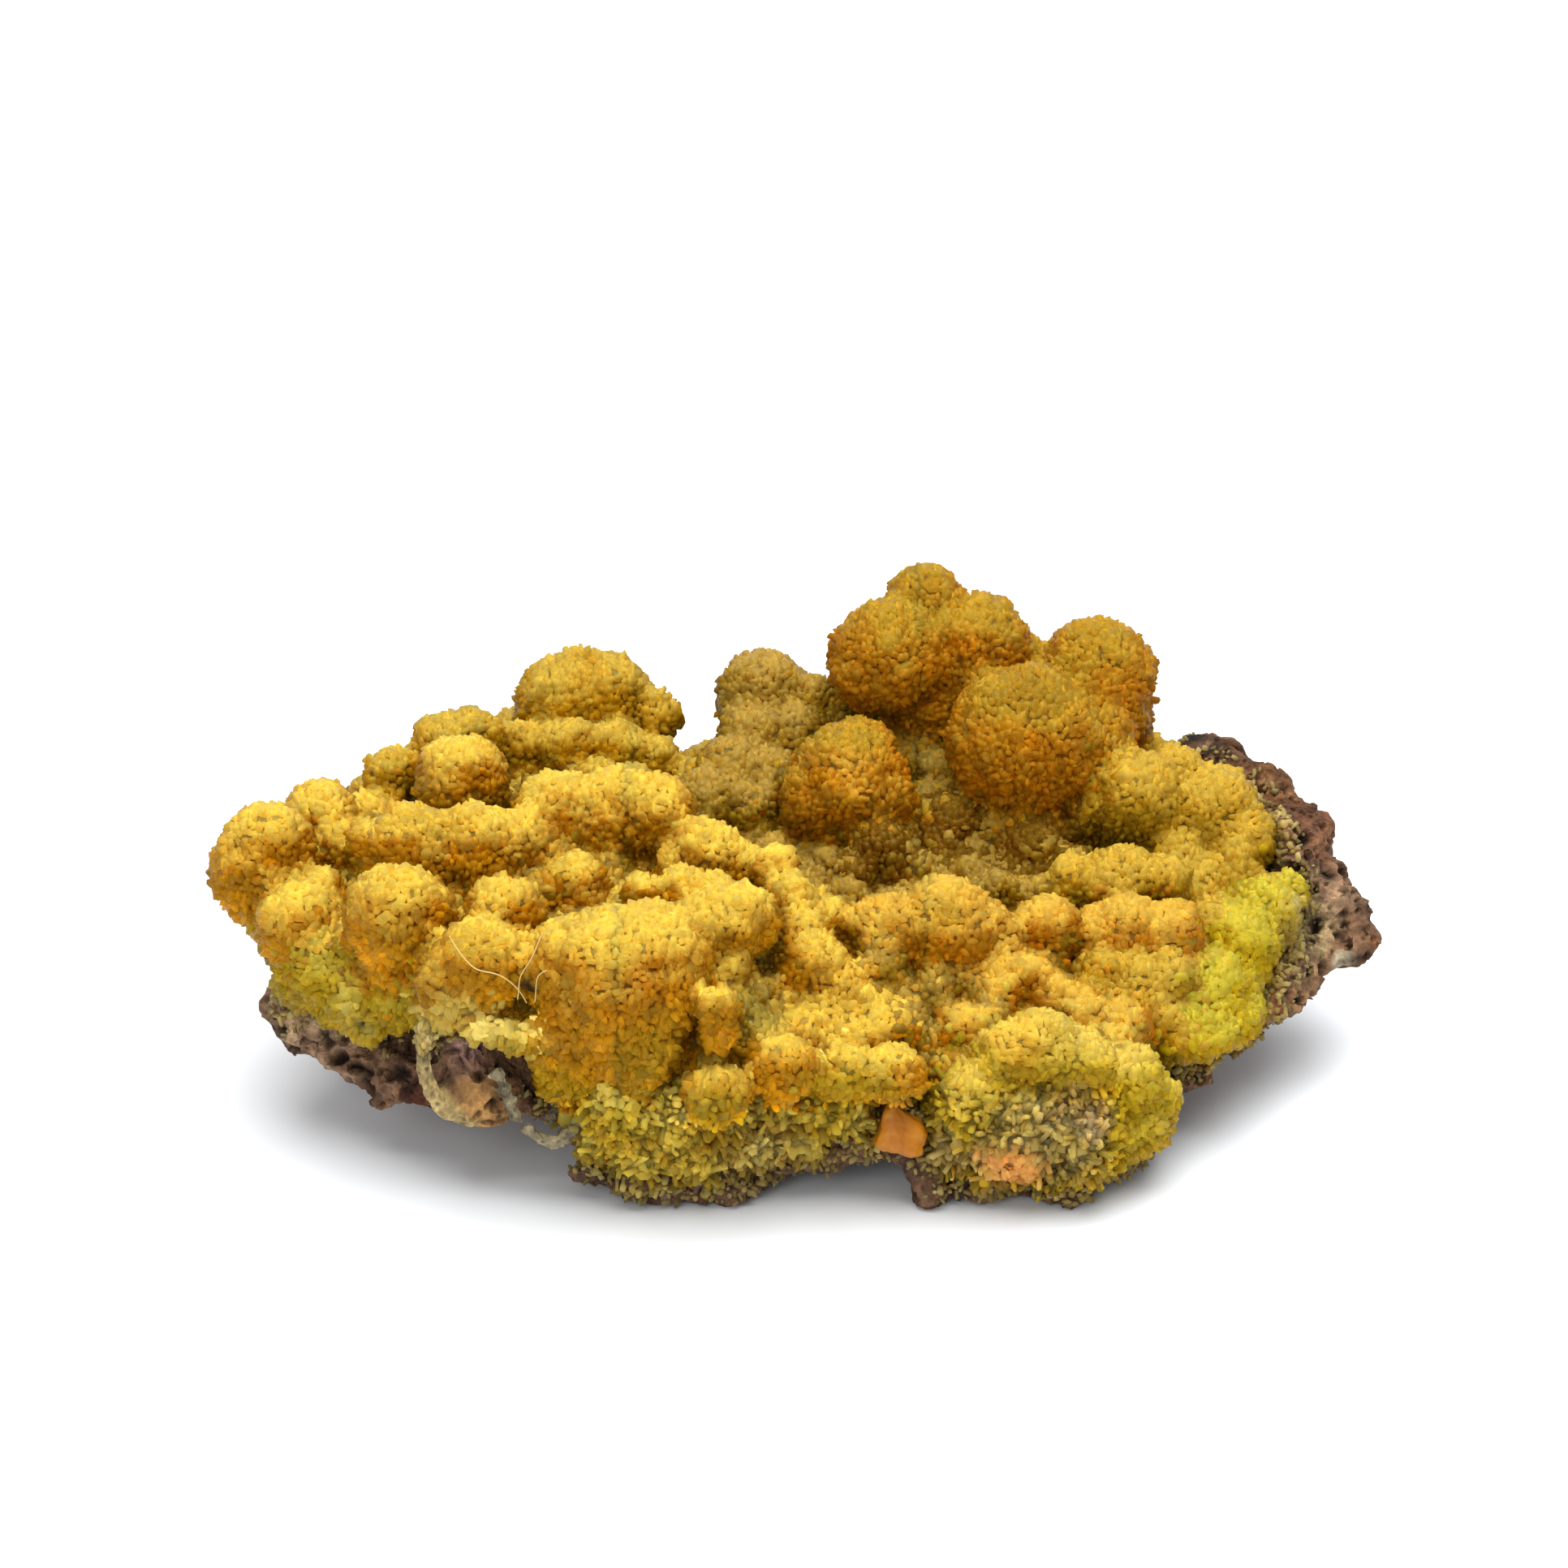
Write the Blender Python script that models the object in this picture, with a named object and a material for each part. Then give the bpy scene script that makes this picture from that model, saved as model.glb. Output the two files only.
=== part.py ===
"""Mimetite hand specimen: a golden crust of grape-like balls on a piece of brown vesicular rock.

The specimen rests on three flattened feet of the rock. X runs along its length, with the cavity that holds
the orange crystal towards -Y, and Z is up. Lengths are in millimetres until the last step, which makes metres.
"""

import math
import random

import bmesh
import bpy
from mathutils import Matrix, Vector, noise

# Driving dimensions, in millimetres
CRUST_GAP = 0.55        # clearance between the crust and the rock that it grew on
GRAIN_SIZE = 1.5        # width of the knobs that roughen the crust
GRAIN_DEPTH = 0.30      # height of those knobs
FIELD_STEP = 2.5        # spacing of the small balls that cover the bed between the listed ones
ROCK_GRAIN_SIZE = 2.6   # width of the rock's larger roughness
ROCK_GRAIN_DEPTH = 0.75
CRUST_VOXEL = 0.42
ROCK_VOXEL = 0.5
CUTTER_VOXEL = 0.55
CRUST_TRIANGLES = 6100
ROCK_TRIANGLES = 2600
CUTTER_TRIANGLES = 1300
METRES = 0.001

# The rock as overlapping lumps: centre x, y, z, then half-widths
ROCK_LUMPS = [
    # the slab from left to right
    (-20.0, -1.0, 6.6, 6.4, 7.2, 2.6),
    (-12.0, 1.0, 6.0, 10.0, 11.5, 3.6),
    (-1.0, 1.0, 4.4, 13.0, 12.5, 3.5),
    (11.0, 0.5, 3.9, 12.0, 11.0, 3.3),
    (18.0, 3.0, 5.4, 8.0, 8.5, 2.9),
    # the bare rim at the right, rising to the back
    (20.9, 10.3, 12.7, 1.6, 2.2, 1.7),
    (22.6, 9.8, 11.4, 1.9, 2.4, 2.0),
    (24.2, 8.8, 11.1, 2.1, 2.6, 2.4),
    (25.3, 7.0, 10.3, 2.1, 2.8, 2.4),
    (25.7, 4.8, 9.4, 2.1, 2.6, 2.3),
    (26.9, 3.0, 7.7, 2.2, 2.4, 2.1),
    (27.8, 1.8, 6.7, 1.8, 1.9, 1.5),
    (28.6, 1.4, 6.3, 0.9, 0.9, 0.7),
    (26.4, 1.0, 6.4, 1.8, 1.8, 1.3),
    (24.8, -0.8, 5.9, 1.9, 2.0, 1.5),
    (23.0, -2.4, 5.1, 2.0, 2.0, 1.5),
    (21.2, -3.8, 4.6, 1.9, 1.9, 1.3),
    (19.0, -6.0, 3.6, 1.8, 2.2, 1.4),
    (21.5, 9.0, 9.0, 3.6, 3.4, 3.4),
    # the ragged left end
    (-25.2, -5.6, 6.4, 1.5, 1.9, 1.8),
    (-23.4, -6.0, 6.1, 2.1, 2.0, 1.6),
    (-21.6, -7.2, 5.3, 1.8, 1.9, 1.4),
    (-19.8, -8.2, 5.0, 2.1, 1.9, 1.8),
    # the nodule in the broken bubble at the lower left, and the foot of the bubble's wall
    (-15.5, -10.8, 6.0, 2.2, 2.0, 2.3),
    (-15.9, -10.9, 7.4, 1.5, 1.7, 1.5),
    (-15.2, -10.4, 4.8, 2.2, 2.0, 1.5),
    (-17.6, -9.4, 4.4, 1.7, 1.6, 1.3),
    (-12.2, -11.0, 4.4, 1.6, 1.8, 0.9),
    # the two front feet and the thin lip that joins them
    (-5.5, -9.0, 2.0, 4.8, 4.2, 2.9),
    (-10.2, -12.4, 1.7, 0.9, 1.3, 1.0),
    (-7.2, -12.6, 0.8, 2.5, 1.8, 1.4),
    (-4.6, -12.5, 0.8, 2.3, 1.9, 1.4),
    (-2.0, -12.4, 0.8, 1.3, 1.6, 0.9),
    (-0.7, -12.1, 1.5, 1.4, 1.5, 0.8),
    (1.3, -12.1, 1.9, 1.5, 1.5, 0.8),
    (3.4, -12.2, 2.8, 1.5, 1.5, 0.8),
    (5.2, -12.3, 2.7, 1.4, 1.5, 1.0),
    (6.2, -12.9, 1.0, 1.3, 1.4, 1.6),
    (9.6, -12.4, 0.8, 2.6, 1.8, 1.4),
    (12.4, -12.2, 0.8, 2.3, 1.8, 1.4),
    (14.3, -11.4, 1.2, 1.7, 1.7, 1.0),
    (4.9, -10.6, 4.0, 2.6, 1.7, 2.4),
    (16.0, -10.2, 1.7, 1.5, 1.6, 0.8),
    (17.8, -10.1, 1.5, 0.9, 1.0, 0.6),
    (10.8, -8.6, 2.0, 5.6, 4.2, 2.8),
    (15.6, -8.2, 2.8, 2.8, 3.0, 1.5),
    # the back foot and the back flank
    (1.0, 10.0, 3.0, 7.0, 5.5, 3.8),
    (-13.0, 10.0, 6.4, 7.0, 5.0, 3.1),
    (9.0, 11.0, 6.6, 9.0, 6.0, 3.6),
]

# The crust's bed: wide flat lumps that carry the balls, with centre x, y, z, then half-widths
BED_LUMPS = [
    (-19.0, -2.0, 9.7, 7.6, 7.6, 2.4),
    (-11.0, -2.0, 9.7, 9.0, 9.6, 2.7),
    (-14.0, 8.0, 9.8, 7.6, 7.2, 2.7),
    (-4.0, 6.0, 8.4, 9.0, 10.0, 2.6),
    (0.0, -4.5, 7.6, 9.0, 8.0, 2.6),
    (4.0, 12.0, 9.6, 8.6, 5.2, 3.3),
    (10.0, 6.0, 8.1, 9.0, 8.0, 2.6),
    (10.0, -4.5, 6.4, 9.5, 7.5, 2.3),
    (17.0, 1.5, 7.0, 8.0, 8.0, 2.5),
    (17.5, -3.5, 5.9, 6.0, 5.5, 2.0),
    # the broken front face
    (-3.6, -10.6, 6.4, 7.0, 2.6, 3.0),
    (10.2, -9.6, 5.4, 6.6, 3.0, 2.6),
]

# The balls: centre x, y, z, then radius
BALLS = {
    "left end": [
        (-26.3, -2.0, 12.6, 2.75), (-26.0, -2.0, 13.7, 2.4), (-26.0, -2.5, 11.4, 2.2), (-24.0, 3.0, 12.9, 2.1),
        (-23.0, 1.0, 12.0, 1.8), (-24.0, -6.0, 11.4, 2.4), (-23.3, -4.0, 12.2, 1.4), (-19.1, -8.5, 13.2, 2.7),
        (-19.5, -8.6, 11.2, 2.0), (-15.1, -11.5, 12.2, 2.4), (-16.2, -11.4, 11.0, 2.1), (-14.1, -8.0, 12.9, 2.1),
        (-22.0, 4.5, 11.6, 2.0),
    ],
    "left apron": [
        (-22.9, -7.4, 9.8, 2.0), (-21.2, -8.6, 8.8, 1.8), (-24.2, -6.6, 8.6, 1.6), (-20.8, -9.2, 7.6, 1.2),
        (-19.0, -9.0, 8.8, 1.7), (-17.4, -10.2, 9.8, 1.5), (-25.0, -4.0, 9.6, 1.8), (-22.4, -8.0, 7.8, 1.1),
    ],
    "wall of the broken bubble": [
        (-17.9, -11.6, 8.7, 0.8), (-18.1, -11.4, 7.6, 0.75), (-18.1, -11.2, 6.5, 0.7), (-17.8, -11.0, 5.4, 0.7),
        (-16.6, -12.3, 9.5, 1.0), (-15.2, -12.8, 9.5, 1.0), (-14.0, -12.9, 9.2, 1.0), (-12.9, -13.0, 9.0, 1.1),
        (-14.1, -12.2, 6.9, 0.55), (-13.6, -12.4, 6.0, 0.6), (-12.9, -12.6, 5.1, 0.7),
    ],
    "left saddle": [
        (-18.8, -2.5, 13.8, 2.5), (-15.7, -2.5, 13.8, 2.5), (-13.7, -2.0, 13.8, 1.9), (-21.1, -1.5, 13.4, 1.5),
        (-16.9, 4.0, 14.4, 2.6), (-11.8, 0.5, 14.0, 2.6), (-9.0, 0.5, 14.2, 2.6), (-7.0, 1.0, 14.1, 2.2),
        (-10.8, -4.5, 12.8, 1.9), (-10.0, 3.5, 12.6, 2.0),
    ],
    "left back": [
        (-18.1, 9.0, 14.1, 2.0), (-16.8, 9.5, 14.4, 1.8), (-20.7, 7.0, 13.5, 1.6), (-12.3, 14.0, 14.3, 2.6),
        (-9.9, 14.0, 14.6, 2.5), (-11.2, 14.5, 14.8, 2.5), (-7.5, 13.5, 13.8, 1.6), (-14.3, 10.5, 13.4, 1.6),
        (-11.8, 10.0, 13.4, 1.9), (-9.4, 10.5, 13.2, 1.8), (-7.3, 10.5, 12.6, 1.5), (-10.2, 6.5, 13.5, 1.3),
        (-8.4, 5.5, 13.5, 1.4), (-5.8, 10.0, 11.6, 1.4),
    ],
    "back middle": [
        (-1.8, 15.0, 14.3, 2.6), (0.7, 14.5, 14.3, 1.6), (-2.2, 12.5, 13.1, 2.1), (-0.1, 12.5, 13.1, 1.9),
        (-3.5, 9.5, 12.4, 2.0), (-1.4, 9.5, 12.0, 1.8), (-4.7, 7.0, 12.0, 1.9), (-2.6, 7.0, 11.4, 1.7),
        (2.0, 14.0, 13.4, 1.4),
    ],
    "crown": [
        (4.7, 12.5, 17.5, 3.25), (9.2, 13.5, 17.4, 3.1), (6.6, 15.3, 19.3, 2.35), (9.6, 15.0, 18.4, 1.9),
        (6.9, 13.0, 15.4, 2.6), (6.4, 12.4, 13.2, 1.9), (15.4, 12.0, 16.7, 3.25), (16.1, 11.5, 14.6, 2.5),
        (15.6, 11.0, 12.6, 2.2), (11.6, 8.0, 14.8, 4.2), (14.6, 8.5, 14.4, 2.9), (2.6, 6.5, 13.2, 3.1),
        (0.9, 6.0, 12.5, 2.0), (4.1, 6.0, 12.5, 2.1), (3.0, 7.0, 14.4, 2.2), (12.3, 13.5, 16.2, 2.0),
    ],
    "below the crown": [
        (4.2, 3.5, 10.8, 1.6), (2.9, 2.5, 9.9, 1.2), (7.8, 6.0, 10.9, 2.0), (7.5, 5.0, 10.0, 1.7),
        (12.0, 4.0, 10.5, 1.8), (14.8, 6.0, 11.6, 1.7),
    ],
    "right shoulder": [
        (17.2, 5.5, 12.7, 2.7), (21.0, 6.0, 11.7, 2.8), (19.1, 7.0, 13.2, 1.9), (22.5, 4.5, 10.9, 2.0),
        (14.1, 0.5, 10.3, 1.9), (16.1, 0.5, 10.5, 2.1), (18.1, 0.5, 10.3, 1.8), (19.1, 3.0, 10.3, 1.7),
        (22.0, 3.0, 10.1, 1.7), (20.4, 2.0, 9.4, 1.7),
    ],
    "right flank": [
        (23.4, 0.0, 9.1, 1.9), (22.0, -2.0, 8.1, 2.0), (20.6, -4.5, 6.9, 2.0), (19.3, -6.3, 6.0, 1.7),
        (24.3, 1.0, 9.6, 1.4), (16.4, -6.3, 8.3, 1.7), (18.1, -5.3, 8.3, 1.8), (17.6, -7.0, 6.7, 1.6),
        (14.9, -6.5, 8.9, 1.5), (20.8, -1.0, 8.6, 1.7),
    ],
    "centre": [
        (16.2, -3.5, 9.9, 2.0), (18.2, -3.5, 9.6, 2.0), (15.0, -3.5, 9.6, 1.7), (12.2, -4.5, 10.5, 1.8),
        (7.2, -5.5, 11.2, 2.5), (4.4, -5.5, 10.8, 2.1), (8.9, -5.5, 10.5, 2.0), (11.2, -7.5, 9.5, 1.3),
        (9.7, -8.0, 8.8, 1.4), (12.4, -8.0, 8.6, 1.4), (7.9, -10.0, 8.1, 1.3), (13.5, -9.0, 8.0, 1.5),
        (15.7, -8.8, 7.4, 1.5),
    ],
    "ridge left of the centre": [
        (0.6, -8.0, 10.2, 1.9), (2.2, -8.5, 8.8, 1.9), (3.8, -9.5, 7.9, 1.5), (0.2, -7.0, 11.4, 1.5),
        (-0.5, -5.0, 12.1, 1.7), (1.4, -5.0, 11.2, 1.4), (-4.5, -2.0, 13.2, 2.0), (-3.3, -2.0, 12.4, 1.8),
        (-5.9, -2.5, 12.8, 1.4), (-1.1, -3.0, 13.0, 1.4), (-7.6, -7.0, 13.6, 1.3), (-5.6, -7.0, 13.8, 1.4),
        (-4.1, -7.0, 13.6, 1.3), (-4.0, -9.0, 12.9, 2.1), (-2.7, -8.5, 13.0, 1.9), (-3.4, -10.0, 11.2, 1.5),
    ],
    "front boss": [
        (-8.4, -12.0, 11.5, 3.9), (-7.1, -11.5, 12.1, 3.2), (-9.8, -12.4, 9.6, 2.9), (-10.9, -12.8, 8.4, 2.1),
        (-7.8, -13.2, 8.8, 2.5), (-10.9, -11.5, 12.0, 2.5), (-3.5, -14.4, 11.0, 0.95), (-3.9, -15.0, 7.1, 1.7),
        (-0.7, -14.0, 7.9, 1.8), (2.3, -13.6, 7.4, 1.6), (4.6, -13.6, 7.4, 1.65), (-2.0, -12.0, 8.2, 1.8),
        (-11.2, -12.6, 6.0, 1.9), (-3.6, -11.4, 9.6, 1.6),
    ],
    "front left foot": [
        (-8.2, -13.4, 5.8, 2.3), (-6.0, -13.0, 4.2, 2.2), (-7.5, -12.8, 2.9, 1.9), (-4.8, -12.8, 2.8, 1.9),
        (-2.1, -12.6, 3.2, 1.7), (0.2, -12.6, 3.6, 1.4), (-9.6, -12.8, 3.4, 1.4), (2.2, -12.9, 4.9, 1.5),
        (-3.8, -13.2, 5.2, 2.0), (-1.2, -12.9, 5.6, 1.8), (0.9, -12.9, 5.4, 1.6), (-10.8, -12.3, 4.4, 1.2),
        (3.2, -12.8, 4.2, 1.0),
    ],
    "front right foot": [
        (9.9, -12.4, 7.7, 1.8), (11.6, -12.0, 8.0, 2.0), (13.4, -12.0, 7.0, 2.0), (15.8, -11.3, 5.8, 2.0),
        (17.2, -10.8, 4.6, 1.4), (8.3, -13.0, 5.2, 2.2), (10.7, -12.8, 3.9, 2.6), (13.5, -12.4, 3.4, 2.5),
        (16.0, -11.4, 3.2, 1.9), (7.3, -12.9, 3.1, 1.3), (7.4, -12.2, 2.2, 1.2), (9.2, -13.0, 2.4, 1.5),
        (12.2, -12.9, 2.2, 1.6), (17.4, -10.8, 3.2, 1.1),
    ],
    "back rim, out of sight from the front": [
        (-18.0, 12.0, 11.6, 2.2), (-14.5, 15.0, 11.4, 2.3), (-9.5, 16.6, 11.6, 2.3), (-5.0, 14.6, 9.8, 1.9),
        (-1.0, 16.8, 11.4, 2.3), (3.5, 16.6, 12.4, 2.4), (8.0, 17.0, 14.4, 2.6), (12.0, 15.8, 12.8, 2.4),
        (15.8, 14.6, 12.8, 2.4), (18.4, 11.5, 11.6, 2.0), (-21.5, 8.8, 11.0, 1.9), (-24.0, 5.6, 10.8, 1.7),
        (-12.0, 16.4, 9.6, 1.9), (-3.0, 16.6, 9.4, 1.8), (5.5, 17.2, 10.6, 2.2), (11.0, 16.8, 10.2, 2.0),
    ],
}

# Places in the rock that are hollowed: centre x, y, z, then radius
ROCK_PITS = [
    (-13.2, -12.4, 7.0, 1.4), (-23.6, -7.6, 5.6, 0.7), (-20.6, -9.9, 6.0, 0.9), (-18.0, -11.4, 4.6, 0.6),
    (27.8, 0.2, 7.8, 0.9), (25.6, -2.0, 6.8, 0.8), (24.4, 6.0, 12.2, 0.8), (22.4, 8.2, 13.0, 0.8),
    (27.4, 5.6, 9.2, 0.9), (26.0, 9.6, 10.6, 0.9), (18.0, 13.4, 7.6, 1.3), (6.0, 16.4, 6.0, 1.4),
    (-6.0, 14.4, 5.0, 1.5), (-15.0, 13.6, 6.6, 1.3), (-22.6, 5.6, 6.4, 1.1), (-26.0, 1.0, 6.8, 1.1),
    (-8.0, 2.0, 1.6, 1.8), (8.0, -1.0, 0.2, 1.6), (17.0, 0.0, 2.2, 1.5),
]

# The arch under the front edge, between the two front feet: centre x, y, z, then radius
FRONT_ARCH = [(1.6, -9.0, 0.6, 2.4), (4.2, -8.0, 0.8, 2.0)]

# The orange crystal in its cavity in the front face
CRYSTAL_PLACE = (4.9, -13.7, 4.5)
CRYSTAL_HALF = (1.10, 0.80, 1.20)
CAVITY_RADIUS = 1.7


def clear_scene():
    for obj in list(bpy.data.objects):
        bpy.data.objects.remove(obj)


def link(name, mesh):
    obj = bpy.data.objects.new(name, mesh)
    bpy.context.scene.collection.objects.link(obj)
    return obj


def evaluated_mesh(obj):
    """The object's mesh with its modifiers applied."""
    graph = bpy.context.evaluated_depsgraph_get()
    return bpy.data.meshes.new_from_object(obj.evaluated_get(graph))


def apply_modifiers(obj):
    mesh = evaluated_mesh(obj)
    obj.modifiers.clear()
    obj.data = mesh


def lumps_object(name, lumps, rng, wobble):
    """Every lump as a slightly uneven ball or ellipsoid, all in one mesh."""
    bm = bmesh.new()
    for lump in lumps:
        place = Vector(lump[:3])
        half = Vector(lump[3:6]) if len(lump) == 6 else Vector([lump[3]] * 3)
        seed = Vector([rng.uniform(-50, 50) for _ in range(3)])
        new = bmesh.ops.create_icosphere(bm, subdivisions=3, radius=1.0)["verts"]
        for v in new:
            swell = 1 + wobble * noise.noise(v.co * 1.7 + seed)
            v.co = place + Vector([v.co[i] * half[i] * swell for i in range(3)])
    mesh = bpy.data.meshes.new(name)
    bm.to_mesh(mesh)
    bm.free()
    return link(name, mesh)


def fuse(obj, voxel):
    """Overlapping lumps made one skin."""
    remesh = obj.modifiers.new("one skin", "REMESH")
    remesh.mode = "VOXEL"
    remesh.voxel_size = voxel
    apply_modifiers(obj)


def soften(obj, rounds):
    smooth = obj.modifiers.new("soft creases", "SMOOTH")
    smooth.factor = 0.5
    smooth.iterations = rounds
    apply_modifiers(obj)


def thin_out(obj, triangles):
    """Collapses edges until about that many triangles are left."""
    now = sum(len(p.vertices) - 2 for p in obj.data.polygons)
    decimate = obj.modifiers.new("fewer faces", "DECIMATE")
    decimate.ratio = min(1.0, triangles / now)
    decimate.use_collapse_triangulate = True
    apply_modifiers(obj)


def push(obj, amount):
    """Moves each vertex along its normal by amount(place, normal)."""
    mesh = obj.data
    normals = [v.normal.copy() for v in mesh.vertices]
    moved = [v.co + n * amount(v.co, n) for v, n in zip(mesh.vertices, normals)]
    for v, place in zip(mesh.vertices, moved):
        v.co = place
    mesh.update()


def hollow(obj, pits, depth_share=0.8):
    """Sinks the surface into a bowl around each pit."""
    centres = [(Vector(p[:3]), p[3]) for p in pits]

    def amount(place, _normal):
        sunk = 0.0
        for centre, radius in centres:
            share = (place - centre).length / (1.5 * radius)
            if share < 1:
                sunk = max(sunk, radius * depth_share * (1 - share * share))
        return -sunk

    push(obj, amount)


def cut_flat(obj, height):
    """Cuts off what lies below the height and closes the cut."""
    bm = bmesh.new()
    bm.from_mesh(obj.data)
    geometry = bm.verts[:] + bm.edges[:] + bm.faces[:]
    cut = bmesh.ops.bisect_plane(
        bm, geom=geometry, plane_co=(0, 0, height), plane_no=(0, 0, 1), clear_inner=True
    )["geom_cut"]
    rim = [e for e in cut if isinstance(e, bmesh.types.BMEdge)]
    bmesh.ops.holes_fill(bm, edges=rim)
    bmesh.ops.triangulate(bm, faces=bm.faces[:])
    bm.to_mesh(obj.data)
    bm.free()


def keep_largest(obj):
    """Deletes every loose crumb but the main body."""
    bm = bmesh.new()
    bm.from_mesh(obj.data)
    left = set(bm.verts)
    bodies = []
    while left:
        start = left.pop()
        body, edge = {start}, [start]
        while edge:
            for e in edge.pop().link_edges:
                for v in e.verts:
                    if v in left:
                        left.discard(v)
                        body.add(v)
                        edge.append(v)
        bodies.append(body)
    main = max(bodies, key=len)
    bmesh.ops.delete(bm, geom=[v for v in bm.verts if v not in main], context="VERTS")
    bm.to_mesh(obj.data)
    bm.free()


def subtract(obj, cutter):
    boolean = obj.modifiers.new("room for its neighbour", "BOOLEAN")
    boolean.operation = "DIFFERENCE"
    boolean.solver = "EXACT"
    boolean.object = cutter
    apply_modifiers(obj)


def finish(obj, colour, roughness):
    material = bpy.data.materials.new(obj.name)
    material.use_nodes = True
    shader = material.node_tree.nodes["Principled BSDF"]
    shader.inputs["Base Color"].default_value = (*colour, 1)
    shader.inputs["Roughness"].default_value = roughness
    obj.data.materials.clear()
    obj.data.materials.append(material)


def rock_roughness(place, _normal):
    """Broad lumps with ledges, and a finer grain."""
    broad = noise.fractal(place / ROCK_GRAIN_SIZE, 0.8, 2.0, 3)
    ledge = abs(noise.noise(place / (1.7 * ROCK_GRAIN_SIZE) + Vector((7, 3, 1))))
    return ROCK_GRAIN_DEPTH * (broad - 0.9 * ledge)


def crust_roughness(place, _normal):
    """Rounded knobs, from cells of a fixed size."""
    near = noise.voronoi(place / GRAIN_SIZE)[0]
    knob = 1 - min(1.0, near[0] / 0.75) ** 2
    return GRAIN_DEPTH * (knob - 0.75)


def bed_height(x, y):
    """Height of the bed's top above this place, or None beside it."""
    tops = []
    for cx, cy, cz, hx, hy, hz in BED_LUMPS:
        share = ((x - cx) / hx) ** 2 + ((y - cy) / hy) ** 2
        if share < 0.8:
            tops.append(cz + hz * math.sqrt(1 - share))
    return max(tops) if tops else None


def field_balls(balls, rng):
    """Small balls on the bed wherever no listed ball covers it."""
    found = []
    for column in range(-10, 11):
        for row in range(-5, 7):
            x = FIELD_STEP * (column + 0.5 * (row % 2)) + rng.uniform(-0.6, 0.6)
            y = FIELD_STEP * row + rng.uniform(-0.6, 0.6)
            radius = rng.uniform(0.95, 1.45)
            top = bed_height(x, y)
            if top is None:
                continue
            place = Vector((x, y, top + 0.1 * radius))
            if all((place - Vector(ball[:3])).length > ball[3] for ball in balls):
                found.append((*place, radius))
    return found


def make_matrix(rng):
    rock = lumps_object("matrix", ROCK_LUMPS, rng, wobble=0.10)
    fuse(rock, ROCK_VOXEL)
    push(rock, rock_roughness)
    hollow(rock, ROCK_PITS + FRONT_ARCH)
    fuse(rock, ROCK_VOXEL)
    soften(rock, 1)
    thin_out(rock, ROCK_TRIANGLES)
    cut_flat(rock, 0.0)
    keep_largest(rock)
    finish(rock, (0.20, 0.12, 0.09), 0.9)
    return rock


def make_cutter(name, source, growth):
    """A coarse copy of a piece, grown outwards by the clearance."""
    cutter = link(name, source.data.copy())
    fuse(cutter, CUTTER_VOXEL)
    push(cutter, lambda place, normal: growth)
    thin_out(cutter, CUTTER_TRIANGLES)
    cutter.hide_render = True
    cutter.display_type = "WIRE"
    return cutter


def make_crust(rng, cutters):
    balls = [ball for group in BALLS.values() for ball in group]
    lumps = BED_LUMPS + balls + field_balls(balls, rng)
    crust = lumps_object("mimetite_crust", lumps, rng, wobble=0.09)
    fuse(crust, CRUST_VOXEL)
    push(crust, crust_roughness)
    fuse(crust, CRUST_VOXEL)
    thin_out(crust, CRUST_TRIANGLES)
    for cutter in cutters:
        subtract(crust, cutter)
    keep_largest(crust)
    finish(crust, (0.56, 0.33, 0.04), 0.6)
    return crust


def make_crystal():
    """A blunt grain with flat faces: a cube whose corners and edges are cut unevenly."""
    rng = random.Random(5)
    bm = bmesh.new()
    bmesh.ops.create_cube(bm, size=2.0)
    bmesh.ops.bevel(bm, geom=bm.edges[:], offset=0.34, segments=1, affect="EDGES")
    corners = [v.co + Vector([rng.uniform(-0.07, 0.07) for _ in range(3)]) for v in bm.verts]
    bm.clear()
    for corner in corners:
        bm.verts.new(corner)
    bmesh.ops.convex_hull(bm, input=bm.verts)
    turn = Matrix.Rotation(math.radians(14), 4, "Y") @ Matrix.Rotation(math.radians(-18), 4, "X")
    place = Matrix.Translation(CRYSTAL_PLACE) @ turn @ Matrix.Diagonal((*CRYSTAL_HALF, 1))
    bmesh.ops.transform(bm, matrix=place, verts=bm.verts)
    mesh = bpy.data.meshes.new("orange_crystal")
    bm.to_mesh(mesh)
    bm.free()
    crystal = link("orange_crystal", mesh)
    finish(crystal, (0.62, 0.22, 0.02), 0.35)
    return crystal


def make_cavity():
    """The hollow that holds the crystal, cut from the crust and the rock."""
    bm = bmesh.new()
    bmesh.ops.create_icosphere(bm, subdivisions=2, radius=CAVITY_RADIUS)
    bmesh.ops.translate(bm, vec=CRYSTAL_PLACE, verts=bm.verts)
    mesh = bpy.data.meshes.new("cavity")
    bm.to_mesh(mesh)
    bm.free()
    cavity = link("cavity", mesh)
    cavity.hide_render = True
    cavity.display_type = "WIRE"
    return cavity


def place_on_origin(pieces):
    """Moves the origin under the middle of the specimen's box, and makes metres of millimetres."""
    corners = [v.co for piece in pieces for v in piece.data.vertices]
    low = [min(c[i] for c in corners) for i in range(3)]
    high = [max(c[i] for c in corners) for i in range(3)]
    middle = Vector(((low[0] + high[0]) / 2, (low[1] + high[1]) / 2, low[2]))
    print("box low, high, origin:", [round(v, 2) for v in (*low, *high, *middle)])
    for piece in pieces:
        piece.data.transform(Matrix.Scale(METRES, 4) @ Matrix.Translation(-middle))
        piece.data.update()


def main():
    clear_scene()
    rng = random.Random(38)
    matrix = make_matrix(rng)
    crystal = make_crystal()
    cavity = make_cavity()
    rock_cutter = make_cutter("rock_cutter", matrix, CRUST_GAP)
    crust = make_crust(rng, [rock_cutter, cavity])
    place_on_origin([matrix, crust, crystal])


main()
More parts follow.
